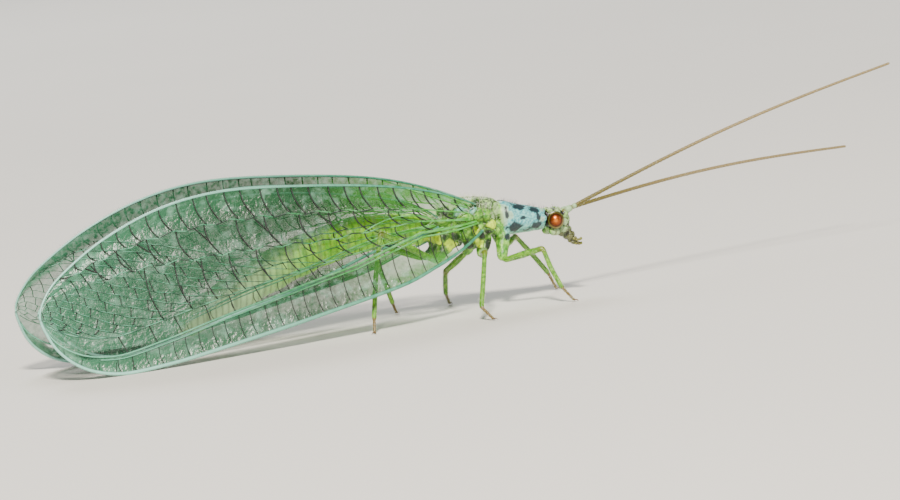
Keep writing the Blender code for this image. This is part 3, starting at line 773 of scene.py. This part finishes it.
rods = (  # start, end, thickness there and there, and the sides that it is on
    ((2.96, 0.0, 2.2), (3.22, 0.0, 1.92), 0.27, 0.18, (1,)),  # muzzle
    ((2.2, 0.0, 2.56), (2.7, 0.0, 2.5), 0.27, 0.26, (1,)),  # neck
    ((0.92, 0.36, 2.28), (0.72, 0.68, 1.64), 0.25, 0.17, (-1,)),  # hips: the left foreleg reaches forward
    ((0.98, 0.36, 2.3), (1.2, 0.66, 1.82), 0.22, 0.14, (1,)),
    ((0.24, 0.42, 2.22), (0.05, 0.72, 1.84), 0.28, 0.17, (-1, 1)),
    ((-1.0, 0.36, 2.16), (-1.36, 0.6, 1.84), 0.24, 0.15, (-1, 1)),
    ((0.36, 0.62, 3.08), (-0.42, 1.12, 2.98), 0.22, 0.08, (-1, 1)),  # stems of the wings
    ((-0.86, 0.48, 3.04), (-1.8, 0.98, 2.92), 0.18, 0.06, (-1, 1)),
)
# collar behind the head: x, height of its centre, half width and half height
collar = (
    (0.74, 2.8, 0.36, 0.34), (0.84, 2.8, 0.58, 0.5), (1.1, 2.77, 0.66, 0.55), (1.5, 2.69, 0.64, 0.48),
    (1.9, 2.63, 0.62, 0.42), (2.2, 2.58, 0.56, 0.37), (2.37, 2.56, 0.46, 0.33), (2.43, 2.55, 0.3, 0.22),
)


def sphereShape(sides=24, rings=14):
    # points of a unit ball by latitude and longitude, closed with a fan at each pole
    turn = turns(sides)
    fall = np.linspace(0, math.pi, rings + 2)[1:-1]
    ring = np.stack([
        np.outer(np.sin(fall), np.cos(turn)), np.outer(np.sin(fall), np.sin(turn)),
        np.repeat(np.cos(fall)[:, None], sides, 1),
    ], -1).reshape(-1, 3)
    points = np.concatenate([ring, [[0, 0, 1.0], [0, 0, -1.0]]])
    j = np.arange(sides)
    k = (j + 1) % sides
    top, low = len(ring), (rings - 1) * sides
    upper = np.stack([0 * j + top, j, k], 1)
    lower = np.stack([0 * j + top + 1, low + k, low + j], 1)
    return points, [gridQuads(rings, sides, closed=True), np.concatenate([upper, lower])]


def ball(centre, half):
    # the unit ball times its half sizes
    points, faces = sphereShape()
    points = points * half + centre
    return points, outwards(points, faces)


def rod(start, end, first, last):
    # a tapered rod with round ends: radius by the sine of the way round each end
    a = np.radians([-89, -60, -30, 0])
    start, end = np.array(start), np.array(end)
    ahead = unit(end - start)
    back = start + np.outer(np.sin(a), ahead) * first
    front = end + np.outer(np.sin(-a[::-1]), ahead) * last
    path = np.concatenate([back, front])[None]
    radii = np.concatenate([np.cos(a) * first, np.cos(a[::-1]) * last])[None]
    points, faces = sweepTubes(path, radii, np.array([0.3, 0.9, 0.1]), 20)
    return points, outwards(points, faces)


def barrel(path, halfWidths, halfHeights, up, squareness=2.0):
    # a ring (cos, sin) to the power 2 / squareness, as wide and high as given, at each point of the path
    sides = body["sides"]
    across, lift = np.cos(turns(sides)), np.sin(turns(sides))
    across = np.sign(across) * np.abs(across) ** (2 / squareness)
    lift = np.sign(lift) * np.abs(lift) ** (2 / squareness)
    points = (
        path[:, None]
        + (halfWidths[:, None] * across)[..., None] * np.array([0, 1.0, 0])
        + (halfHeights[:, None] * lift)[..., None] * up[:, None]
    ).reshape(-1, 3)
    size = len(points)
    caps = [np.arange(sides)[None], np.arange(size - sides, size)[::-1][None]]
    return points, outwards(points, [gridQuads(len(path), sides, closed=True), *caps])


def abdomenLine(t):
    # from the base to the tail, arching over the straight line as the sine of t ** 0.8
    start, tip = np.array(body["abdomenStart"]), np.array(body["abdomenTip"])
    line = np.outer(1 - t, start) + np.outer(t, tip)
    rise = body["abdomenRise"] * np.sin(math.pi * t**0.8)
    return np.stack([line[:, 0], 0 * t, line[:, 1] + rise], 1)


def abdomenTube():
    # full in the middle, narrower at the base, drawn in to the tail and a little at each joint
    t = np.linspace(0, 1, 150)
    path = abdomenLine(t)
    widest, base = body["abdomenWidest"], body["abdomenBase"]
    plump = base + (1 - base) * np.sin(math.pi * np.clip(t / widest, 0, 1) / 2)
    plump = plump * np.where(t > widest, np.cos((t - widest) / (1 - widest) * 0.98), 1.0)
    way = np.clip(np.minimum(t, 1 - t) / body["abdomenEnds"], 0, 1)
    ends = np.sqrt(np.clip(1 - (1 - way) ** 2, 0.0004, 1))
    swell = plump * ends * (1 - 0.05 * ribs(t, body["rings"], 6))
    ahead = unit(np.gradient(path, axis=0))
    up = np.stack([-ahead[:, 2], 0 * t, ahead[:, 0]], 1)
    up *= np.sign(up[:, 2])[:, None]
    return barrel(path, body["abdomenWidth"] * swell, body["abdomenHeight"] * swell, up)


def collarTube():
    # a rounded box carried along the collar's own table of places and sizes
    form = smoothCurve(collar, np.linspace(0, 1, 60))
    path = np.stack([form[:, 0], 0 * form[:, 0], form[:, 1]], 1)
    up = np.tile([0, 0, 1.0], (len(path), 1))
    return barrel(path, form[:, 2], form[:, 3], up, squareness=2.7)


def fuseParts(parts):
    # one closed skin round all the parts, by a voxel grid, then smoothed; sizes stay in millimetres here
    points, faces = joinMeshes(parts)
    rough = putMesh("rough", points / mm, faces, finish["body"])
    grid = rough.modifiers.new("fuse", "REMESH")
    grid.mode, grid.voxel_size = "VOXEL", body["voxel"]
    ease = rough.modifiers.new("ease", "SMOOTH")
    ease.factor, ease.iterations = 0.5, 4
    whole = rough.evaluated_get(bpy.context.evaluated_depsgraph_get()).to_mesh()
    fused, normals = np.zeros((2, len(whole.vertices) * 3), np.float32)
    whole.vertices.foreach_get("co", fused)
    whole.vertices.foreach_get("normal", normals)
    corners = np.zeros(len(whole.loops), np.int32)
    whole.loops.foreach_get("vertex_index", corners)
    if len(corners) != 4 * len(whole.polygons):
        raise ValueError("the fused skin isn't all quads")
    bpy.data.objects.remove(rough, do_unlink=True)
    return fused.reshape(-1, 3).astype(float), normals.reshape(-1, 3).astype(float), corners.reshape(-1, 4)


def fractal(points, size, seed):
    # a cheap smooth noise: three layers of sines along turned directions, each layer twice as fine and half
    # as strong as the one before
    dice = np.random.default_rng(seed)
    total = np.zeros(len(points))
    for layer in range(3):
        waves = unit(dice.normal(size=(5, 3))) * 2 * math.pi / size * 2**layer
        total += np.sin(points @ waves.T + dice.uniform(0, 6.28, 5)).sum(1) / 5 / 2**layer
    return total


# plates of thorax and head by what they look like: centre on one side, and size against its neighbours
plates = {
    "yellow": (
        (0.44, 0.86, 2.68, 1.1), (-0.02, 0.82, 2.16, 1.0), (-0.14, 0.86, 2.58, 0.85),
        (-0.94, 0.7, 2.2, 1.35), (-1.34, 0.62, 2.46, 1.3),
    ),
    "green": (
        (0.62, 0.66, 2.4, 1.0), (0.86, 0.5, 2.62, 1.05), (0.04, 0.74, 1.84, 0.95),
        (-0.34, 0.78, 2.56, 1.05), (0.3, 0.88, 2.94, 1.1), (0.02, 0.98, 3.06, 1.0),
        (-0.46, 1.02, 3.06, 1.05), (0.12, 0.92, 2.78, 0.95), (-0.62, 0.62, 2.76, 0.95),
        (-1.0, 0.62, 2.86, 1.05), (-1.44, 0.46, 2.84, 1.0), (0.8, 0.6, 1.9, 1.25), (1.14, 0.58, 2.0, 1.1),
        (3.16, 0.2, 2.6, 1.1),
    ),
    "dark": (
        (0.32, 0.88, 2.46, 0.95), (0.08, 0.86, 2.38, 0.85), (0.26, 0.72, 2.02, 0.95),
        (-0.3, 0.72, 2.16, 0.9), (0.74, 0.6, 2.84, 0.75), (-0.74, 0.72, 2.46, 0.9),
        (-1.12, 0.66, 2.48, 0.85), (-1.46, 0.48, 2.16, 0.95), (-0.66, 0.42, 2.0, 0.9),
        (2.78, 0.06, 2.84, 0.7), (3.22, 0.16, 2.24, 0.8), (3.12, 0.24, 2.02, 0.8), (3.34, 0.2, 1.76, 0.8),
    ),
    "blue": (
        (-0.2, 1.02, 3.28, 0.85), (-0.4, 0.44, 3.3, 0.9),
    ),
    "pale": (
        (0.8, 0.46, 3.06, 1.05), (-0.14, 0.42, 3.52, 0.9), (0.6, 0.62, 2.94, 0.85),
        (-0.66, 0.3, 3.44, 0.95), (-1.26, 0.2, 3.28, 0.95), (2.62, 0.2, 2.8, 1.0), (2.9, 0.18, 2.78, 1.0),
        (3.3, 0.06, 2.44, 1.0), (3.08, 0.28, 2.36, 1.0), (2.66, 0.4, 2.08, 1.1), (2.98, 0.36, 2.12, 0.95),
        (3.22, 0.24, 1.86, 0.95),
    ),
    "mottled": (
        (0.62, 0.26, 3.46, 1.0), (0.4, 0.56, 3.28, 0.9), (0.14, 0.24, 3.58, 0.95),
        (-0.34, 0.12, 3.6, 0.95),
    ),
    "slate": (
        (0.06, 0.62, 3.34, 0.8), (0.24, 0.08, 3.62, 0.75), (-1.16, 0.56, 2.08, 0.9),
        (-0.98, 0.36, 3.32, 0.9), (0.56, 0.3, 2.2, 0.8), (0.9, 0.2, 3.3, 0.9),
    ),
    "brown": (
        (3.26, 0.08, 2.1, 0.9), (3.4, 0.08, 1.9, 0.9), (3.46, 0.06, 1.66, 0.9), (3.34, 0.16, 1.64, 0.85),
        (2.9, 0.24, 1.98, 0.9), (3.26, 0.22, 2.0, 0.7),
    ),
}
marks = {  # on each side: centre, then half sizes
    "slate": (
        ((1.52, 0.4, 3.08), (0.27, 0.2, 0.13)), ((2.0, 0.42, 2.9), (0.18, 0.18, 0.15)),
        ((1.28, 0.66, 2.48), (0.24, 0.24, 0.17)), ((1.96, 0.6, 2.4), (0.21, 0.24, 0.13)),
        ((2.18, 0.16, 2.94), (0.12, 0.1, 0.1)), ((1.12, 0.1, 3.36), (0.2, 0.1, 0.12)),
        ((1.78, 0.08, 3.1), (0.3, 0.06, 0.1)), ((1.06, 0.6, 2.9), (0.06, 0.2, 0.2)),
        ((0.98, 0.62, 2.2), (0.15, 0.2, 0.1)), ((2.1, 0.54, 2.68), (0.08, 0.16, 0.11)),
        ((1.62, 0.66, 2.28), (0.2, 0.2, 0.07)), ((1.6, 0.66, 2.72), (0.12, 0.1, 0.05)),
    ),
    "dark": (
        ((2.47, 0.3, 2.5), (0.13, 0.42, 0.36)), ((2.5, 0.44, 2.46), (0.12, 0.16, 0.24)),
        ((2.76, 0.12, 2.84), (0.07, 0.2, 0.07)), ((3.04, 0.26, 2.66), (0.07, 0.1, 0.08)),
        ((2.9, 0.38, 2.68), (0.09, 0.1, 0.06)), ((-0.24, 1.06, 3.3), (0.11, 0.12, 0.05)),
    ),
    "pale": (
        ((1.02, 0.6, 2.9), (0.22, 0.24, 0.28)), ((2.34, 0.28, 2.84), (0.12, 0.16, 0.1)),
        ((2.28, 0.5, 2.6), (0.14, 0.12, 0.09)),
    ),
}


def folded(points):
    # the left half of the body laid on the right: y without its sign
    return np.stack([points[:, 0], np.abs(points[:, 1]), points[:, 2]], 1)


def nearMark(points, mark, ragged):
    # 1 inside the mark's ball and 0 outside, with a wavering edge
    reach = np.linalg.norm((folded(points) - mark[0]) / mark[1], axis=1) + 0.55 * ragged
    return 1 - soft(reach, 0.9, 1.12)


def plateMasks(points, ragged):
    # each point belongs to the plate that is nearest for its size; a seam runs where two are equally near
    table = np.concatenate([np.array(rows) for rows in plates.values()])
    away = np.linalg.norm(folded(points)[:, None] - table[:, :3], axis=2) / table[:, 3]
    away = away + 0.022 * ragged[:, None]
    order = np.argsort(away, axis=1)
    each = np.arange(len(points))
    gap = away[each, order[:, 1]] - away[each, order[:, 0]]
    kind = np.repeat(list(plates), [len(rows) for rows in plates.values()])[order[:, 0]]
    return kind, bell(gap, 2 * body["suture"]), soft(gap, 0.0, 0.1)


def bodyMasks(points):
    # where each colour lies and how deep the skin sinks: plates up to furrowFrom and on the head, the collar
    # between them, and rings and pleats along the abdomen as powers of a cosine
    x, _, z = points.T
    furrowFrom = body["furrowFrom"]
    ragged = fractal(points, 0.3, 3)
    speckle = fractal(points, 0.11, 8)
    t = (x - body["abdomenStart"][0]) / (body["abdomenTip"][0] - body["abdomenStart"][0])
    tail = soft(-x, 1.56, 1.74)  # all the abdomen
    onThorax = (1 - tail) * soft(furrowFrom - x, 0.0, 0.1)
    head = soft(x, 2.48, 2.6)
    plated = np.maximum(onThorax, head)
    kind, seam, within = plateMasks(points, ragged)
    seam = seam * plated
    joint = ribs(t, body["rings"], 40) * tail
    pleat = ribs(t, body["pleats"], 10) * tail
    names = ("yellow", "dark", "slate", "pale", "blue", "brown")
    patch = {name: (kind == name) * within * plated for name in names}
    spotted = (kind == "mottled") * onThorax * soft(speckle, -0.2, 0.25)
    marked = {key: np.max([nearMark(points, m, ragged) for m in marks[key]], axis=0) for key in marks}
    collarMask = soft(x, furrowFrom, furrowFrom + 0.08) * soft(2.5 - x, 0, 0.06) * soft(z, 1.98, 2.2)
    freckle = soft(speckle, 0.15, 0.45)
    masks = {
        "abdomen": tail,
        "tail": tail * soft(t, 0.4, 0.82) * 0.92,
        "blue": np.maximum(collarMask * (0.5 + 0.5 * soft(z, 2.15, 2.6)), 0.7 * patch["blue"]),
        "yellow": patch["yellow"],
        "pale": np.max([
            0.38 * head, 0.6 * marked["pale"], 0.7 * patch["pale"], 0.5 * (kind == "mottled") * onThorax,
            0.35 * joint,
        ], axis=0),
        "brown": np.max([
            0.85 * patch["brown"], 0.75 * head * freckle, 0.85 * soft(x, 2.9, 3.1) * soft(-z, -2.24, -2.02),
        ], axis=0),
        "slate": np.max([
            0.85 * patch["slate"], marked["slate"] * 0.95, 0.8 * spotted, 0.35 * onThorax * freckle,
        ], axis=0),
        "dark": np.max([
            0.95 * patch["dark"], marked["dark"], 0.75 * seam, 0.34 * joint, 0.42 * pleat,
        ], axis=0),
    }
    relief = 0.01 * ragged * (1 - tail) - 0.03 * seam - 0.02 * joint - 0.016 * pleat
    return masks, relief


bodyHairs = {
    # x and z from and to, whether on top only, how many, their spread and aim, lengths, width, finish, slot
    "thoraxBristles": (
        (-1.5, 0.9), (2.7, 9.0), True, 620, 0.35, (-0.3, 0.0, 0.2), (0.12, 0.28), 0.013, "paleBristle",
        "head_and_thorax",
    ),
    "collarBristles": (
        (0.9, 2.95), (2.3, 9.0), False, 240, 0.35, (0.2, 0.0, 0.3), (0.08, 0.2), 0.009, "darkBristle",
        "head_and_thorax",
    ),
    "sideBristles": (
        (-1.5, 0.9), (-9.0, 2.7), False, 220, 0.3, (-0.2, 0.0, -0.2), (0.07, 0.15), 0.008, "paleBristle",
        "head_and_thorax",
    ),
    "faceHairs": (
        (2.9, 9.0), (-9.0, 2.5), False, 150, 0.3, (0.4, 0.0, -0.3), (0.05, 0.12), 0.007, "paleBristle",
        "head_and_thorax",
    ),
    "abdomenHairs": (
        (-19.0, -1.8), (-9.0, 9.0), False, 1600, 0.2, (-0.9, 0.0, 0.0), (0.07, 0.13), 0.007, "paleBristle",
        "abdomen",
    ),
}


def growHairs(name, points, normals):
    # bristles on points picked at random from a box, along the normal + spread * chance + aim
    (back, front), (low, high), onTop, count, spread, aim, lengths, width, material, slot = bodyHairs[name]
    x, _, z = points.T
    where = (x > back) & (x < front) & (z > low) & (z < high) & ((normals[:, 2] > 0) | (not onTop))
    pick = draw.choice(np.flatnonzero(where), count, replace=False)
    aims = normals[pick] + spread * draw.normal(size=(count, 3)) + aim
    hairs = bristles(points[pick], aims, draw.uniform(*lengths, count), width)
    addPiece(name, hairs, material, slot, smooth=False)


def makeBody():
    # all the lumps, rods and tubes fused, then each point moved along its normal by the relief
    parts = [abdomenTube(), collarTube()]
    for centre, half in lumps:
        for side in (1, -1) if centre[1] else (1,):
            parts.append(ball(np.array(centre) * (1, side, 1), half))
    for start, end, first, last, sides in rods:
        for side in sides:
            flip = np.array((1, side, 1))
            parts.append(rod(start * flip, end * flip, first, last))
    points, normals, quads = fuseParts(parts)
    masks, relief = bodyMasks(points)
    points = points + normals * relief[:, None]
    skin = putMesh("bodySkin", points, [quads], finish["body"], masks)
    place(skin, "head_and_thorax", "head", "prothorax", "mesothorax", "metathorax", "abdomen")
    for name in bodyHairs:
        growHairs(name, points, normals)


makeBody()
print("lacewing: body made")


# Eyes: a dome on each side of the head, whose colours ring the way it looks

eyes = {"centre": (2.7, 0.46, 2.47), "half": (0.28, 0.27, 0.285), "looks": (-0.28, 1.0, 0.08)}


def makeEye(side, word):
    # a ball of the eye's half sizes; rim is the angle from the way it looks, over a quarter turn
    points, faces = sphereShape(64, 40)
    flip = np.array((1, side, 1))
    rim = np.degrees(np.arccos(np.clip(points @ unit(eyes["looks"] * flip), -1, 1))) / 90
    dome = points * eyes["half"] + eyes["centre"] * flip, faces
    addPiece(f"eyeDome_{word}", dome, "eye", "eye", f"eye_{word}", masks={"rim": rim})


for side, word in bothSides:
    makeEye(side, word)
print("lacewing: eyes made")


# Antennae: short drums in a row, each waisted where it meets the next

antennae = {
    "root": (3.06, 0.16, 2.66),
    "tips": {"right": (14.53, -0.8, 5.86), "left": (14.48, 3.5, 2.98)},
    "rise": 0.27,
    "drums": 92,
    "drumPoints": 6,
    "radius": (0.066, 0.042),  # at the root and at the tip
    "waist": 0.14,
    # the two thick first joints and the neck between them: mm from the root, half length, power of the bell,
    # and mm of radius added
    "firstJoints": {
        "scape": (0.21, 0.12, 4, 0.052), "pedicel": (0.43, 0.06, 4, 0.02), "neck": (0.355, 0.02, 2, -0.014),
    },
    "sides": 10,
    "hair": (0.04, 0.07),
    "hairWidth": 0.006,
}


def makeAntenna(side, word):
    # a tube along a line that arches as a sine, narrowed at each joint by a power of a cosine, with a bell
    # added for each of the first joints
    t = np.linspace(0, 1, antennae["drums"] * antennae["drumPoints"] + 1)
    root = np.array(antennae["root"]) * (1, side, 1)
    tip = np.array(antennae["tips"][word])
    path = np.outer(1 - t, root) + np.outer(t, tip)
    path[:, 2] += antennae["rise"] * np.sin(math.pi * t)
    waist = ribs(t, antennae["drums"], 6)
    thick, thin = antennae["radius"]
    radii = (thick + (thin - thick) * t) * (1 - antennae["waist"] * waist)
    length = t * np.linalg.norm(tip - root)
    bumps = {}
    for key, (middle, half, power, more) in antennae["firstJoints"].items():
        bumps[key] = bell(length - middle, half, power)
        radii = radii + more * bumps[key]
    radii[-3:] *= (0.9, 0.7, 0.3)
    sides = antennae["sides"]
    drums = sweepTubes(path[None], radii[None], np.array([0.0, 0.3, 1.0]), sides)
    masks = {
        "along": np.repeat(soft(t, 0.05, 0.55), sides),
        "dark": np.repeat(0.45 * waist * soft(length, 0.5, 0.8), sides),
        "pale": np.repeat(np.clip(bumps["scape"] + bumps["pedicel"], 0, 1), sides),
    }
    addPiece(f"antennaDrums_{word}", drums, "antenna", "antenna", f"antenna_{word}", masks=masks)
    # two rings of short hairs on every drum, leaning forward
    at = np.repeat(np.linspace(0.03, 0.995, antennae["drums"] * 2), 5)
    around = draw.uniform(0, 2 * math.pi, len(at))
    middle = np.stack([np.interp(at, t, path[:, i]) for i in range(3)], 1)
    out = np.stack([0 * around, np.cos(around), np.sin(around)], 1)
    here = middle + out * np.interp(at, t, radii)[:, None]
    lengths = draw.uniform(*antennae["hair"], len(at))
    hairs = bristles(here, out + [0.8, 0, 0.2], lengths, antennae["hairWidth"])
    addPiece(f"antennaHairs_{word}", hairs, "paleBristle", "antenna", smooth=False)


for side, word in bothSides:
    makeAntenna(side, word)
print("lacewing: antennae made")


# Legs: points from the end of the hip by the knee and the ankle to the toe

legs = {
    "foreleg_right": (
        (0.74, -0.68, 1.66), (0.74, -0.78, 1.5), (1.8, -1.52, 1.77), (1.93, -1.66, 1.15),
        (2.16, -1.83, 0.5), (2.48, -1.96, 0.05),
    ),
    "foreleg_left": (
        (1.2, 0.66, 1.84), (1.26, 0.76, 1.72), (1.9, 1.33, 1.98), (2.38, 1.5, 1.4),
        (2.95, 1.62, 0.62), (3.22, 1.74, 0.05),
    ),
    "midleg_right": (
        (0.05, -0.72, 1.86), (0.02, -0.84, 1.8), (-0.28, -2.0, 1.98), (-0.6, -2.5, 1.22),
        (-0.94, -3.0, 0.42), (-0.72, -3.38, 0.05),
    ),
    "midleg_left": (
        (0.05, 0.72, 1.86), (0.02, 0.78, 1.76), (-0.5, 1.52, 1.18), (-0.47, 1.76, 0.8),
        (-0.42, 2.02, 0.42), (-0.22, 2.36, 0.05),
    ),
    "hindleg_right": (
        (-1.36, -0.6, 1.86), (-1.5, -0.84, 1.8), (-3.42, -1.46, 3.02), (-3.82, -1.64, 1.6),
        (-4.08, -1.86, 0.48), (-4.18, -2.04, 0.05),
    ),
    "hindleg_left": (
        (-1.36, 0.6, 1.86), (-1.48, 0.8, 1.8), (-2.88, 1.26, 2.48), (-2.6, 1.54, 1.36),
        (-2.28, 1.84, 0.42), (-2.1, 2.12, 0.05),
    ),
}
legShape = {
    "thigh": (0.085, 0.112, 0.084),  # radius at its root, middle and knee
    "shin": (0.07, 0.08, 0.074),
    "foot": (0.05, 0.042),
    "knee": (0.016, 0.1),  # mm of radius added there, and half the length of the swelling
    "waist": 0.22,  # share of the radius lost at the joints of the foot
    "toeJoints": 5,
    "bend": 0.1,  # mm of path that each bend is rounded over
    "spacing": 0.03,  # mm between rings
    "sides": 12,
    "hairs": 560,
    "hair": (0.05, 0.11),
    "hairWidth": 0.007,
    "claw": (0.13, 0.018),  # length and radius
}


def roundedPath(joints, bend, spacing):
    # straight runs whose corners are eased by averaging the path over a short length
    joints = np.asarray(joints, float)
    run = distances(joints)
    at = np.arange(0, run[-1], spacing)
    at = np.append(at, run[-1])
    window = np.linspace(-bend, bend, 9)
    fade = np.minimum(1, np.minimum(at, run[-1] - at) / bend)[:, None]
    look = np.clip(at[:, None] + window * fade, 0, run[-1])
    path = np.stack([np.interp(look, run, joints[:, k]).mean(1) for k in range(3)], 1)
    return path, at, run


def makeLeg(name):
    # a tube whose radius runs straight between thigh, shin and foot, with a swollen knee and a jointed foot
    joints = legs[name]
    path, at, run = roundedPath(joints, legShape["bend"], legShape["spacing"])
    hip, knee, shin, ankle, toe = run[1:]
    knots = [0, hip, (hip + knee) / 2, knee - 0.05, knee + 0.05, shin, ankle, ankle + 0.06, toe]
    thigh = legShape["thigh"]
    radii = np.interp(at, knots, [thigh[0], *thigh, *legShape["shin"], *legShape["foot"]])
    way = (at - ankle) / (toe - ankle)
    onFoot = soft(way, 0.0, 0.05)
    waist = ribs(way, legShape["toeJoints"], 8)
    swell, half = legShape["knee"]
    radii = radii * (1 - legShape["waist"] * waist * onFoot) + swell * bell(at - knee, half)
    radii[0] *= 0.4
    radii[-1] *= 0.5
    sides = legShape["sides"]
    beside = unit(np.cross(np.array(joints[2]) - joints[1], np.array(joints[3]) - joints[2]))
    brown = np.maximum(onFoot * 0.9, 0.5 * bell(at - knee, 0.14))
    masks = {"brown": np.repeat(brown, sides), "dark": np.repeat(0.6 * waist * onFoot, sides)}
    tube = sweepTubes(path[None], radii[None], beside, sides)
    addPiece(f"{name}_tube", tube, "leg", "leg", name, masks=masks)
    # hairs that lie towards the foot
    count = legShape["hairs"]
    pick = draw.integers(3, len(path) - 1, count)
    ahead = unit(np.gradient(path, axis=0))[pick]
    out = unit(np.cross(ahead, draw.normal(size=(count, 3))))
    roots = path[pick] + out * radii[pick][:, None]
    lengths = draw.uniform(*legShape["hair"], count)
    hairs = bristles(roots, out + 1.1 * ahead, lengths, legShape["hairWidth"])
    addPiece(f"{name}_hairs", hairs, "paleBristle", "leg", smooth=False)
    # two curved claws at the tip of the foot
    long, thick = legShape["claw"]
    ahead = unit((path[-1] - path[-6]) * (1, 1, 0))
    aside = np.array([-ahead[1], ahead[0], 0])
    u = np.linspace(0, 1, 8)[None, :, None]
    outward = np.array([1, -1])[:, None, None] * (0.02 + 0.05 * u)
    height = 0.03 * np.sin(math.pi * u) - 0.035 * u
    claws = path[-1] + ahead * long * u + aside * outward + np.array([0, 0, 1.0]) * height
    radii = np.broadcast_to(thick * (1 - u[..., 0]) + 0.004, claws.shape[:2])
    addPiece(f"{name}_claws", sweepTubes(claws, radii, np.array([0.0, 0.0, 1.0])), "claw", "leg")


for name in legs:
    makeLeg(name)
print("lacewing: legs made")


# Palps: two pairs of jointed feelers below the jaws

palps = {
    "outer": ((3.26, 0.12, 1.84), (3.36, 0.22, 1.74), (3.46, 0.26, 1.72), (3.58, 0.24, 1.76)),
    "inner": ((3.24, 0.06, 1.76), (3.34, 0.12, 1.64), (3.46, 0.13, 1.58), (3.62, 0.11, 1.59)),
    "thick": 0.048,
    "brown": 0.7,  # how far the leg's green gives way to brown
    "bend": 0.03,
    "spacing": 0.012,
    "sides": 10,
}


def makePalps():
    # a tube along each pair's bent line, narrowed at its joints
    parts, dark = [], []
    sides = palps["sides"]
    for key in ("outer", "inner"):
        for side in (1, -1):
            joints = np.array(palps[key]) * (1, side, 1)
            path, at, run = roundedPath(joints, palps["bend"], palps["spacing"])
            waist = np.min(np.abs(at[:, None] - run[None, 1:-1]), axis=1)
            radii = palps["thick"] * (1 - 0.35 * bell(waist, 0.02))
            radii[0] *= 0.4
            radii[-2:] *= (0.75, 0.35)
            parts.append(sweepTubes(path[None], radii[None], np.array([0.1, 1.0, 0.2]), sides))
            dark.append(np.repeat(0.5 * bell(waist, 0.03), sides))
    dark = np.concatenate(dark)
    masks = {"brown": palps["brown"] + 0 * dark, "dark": dark}
    addPiece("palps", joinMeshes(parts), "leg", "head_and_thorax", masks=masks)


makePalps()
print("lacewing: palps made")


# Floor and light

studio = {
    "floorRadius": 1.5,  # metres, as the lamps' places and sizes are
    "floorSides": 96,
    "floor": ("#e9e7e0", "#e5e3dc"),
    "world": ("#eef0f2", 0.24),
    "lamps": {  # place, size, watts and colour
        "keyLamp": ((-0.08, -0.26, 0.24), 0.055, 2.8, "#fff6ea"),
        "fillLamp": ((0.26, -0.2, 0.12), 0.2, 0.25, "#f2f6ff"),
        "rimLamp": ((0.02, 0.26, 0.2), 0.14, 0.6, "#ffffff"),
    },
}


def makeFloor():
    # a round board with its top at z = 0, of matt card that spreads the light
    turn = turns(studio["floorSides"])
    ring = np.stack([np.cos(turn), np.sin(turn), 0 * turn], 1) * studio["floorRadius"] / mm
    first, second = studio["floor"]
    board = makeFinish("matteBoard", {"Roughness": 0.8}, first, (60.0, 0.3, 0.7, 1.0, second))
    putMesh("floor", ring, [np.arange(len(ring))[None]], board)


def addLamp(name, where, size, power, colour):
    # a round lamp aimed at what the camera is aimed at
    lamp = bpy.data.lights.new(name, "AREA")
    lamp.shape, lamp.size, lamp.energy = "DISK", size, power
    lamp.color = linear(colour)[:3]
    made = bpy.data.objects.new(name, lamp)
    made.location = where
    aim = Vector(view["target"]) * mm - made.location
    made.rotation_euler = aim.to_track_quat("-Z", "Y").to_euler()
    bpy.context.scene.collection.objects.link(made)


def makeWorld():
    # the same faint light from all round
    world = bpy.data.worlds.new("studio")
    world.use_nodes = True
    colour, strength = world.node_tree.nodes["Background"].inputs[:2]
    colour.default_value, strength.default_value = linear(studio["world"][0]), studio["world"][1]
    bpy.context.scene.world = world


makeFloor()
for name, lamp in studio["lamps"].items():
    addLamp(name, *lamp)
makeWorld()
print("lacewing: studio ready")
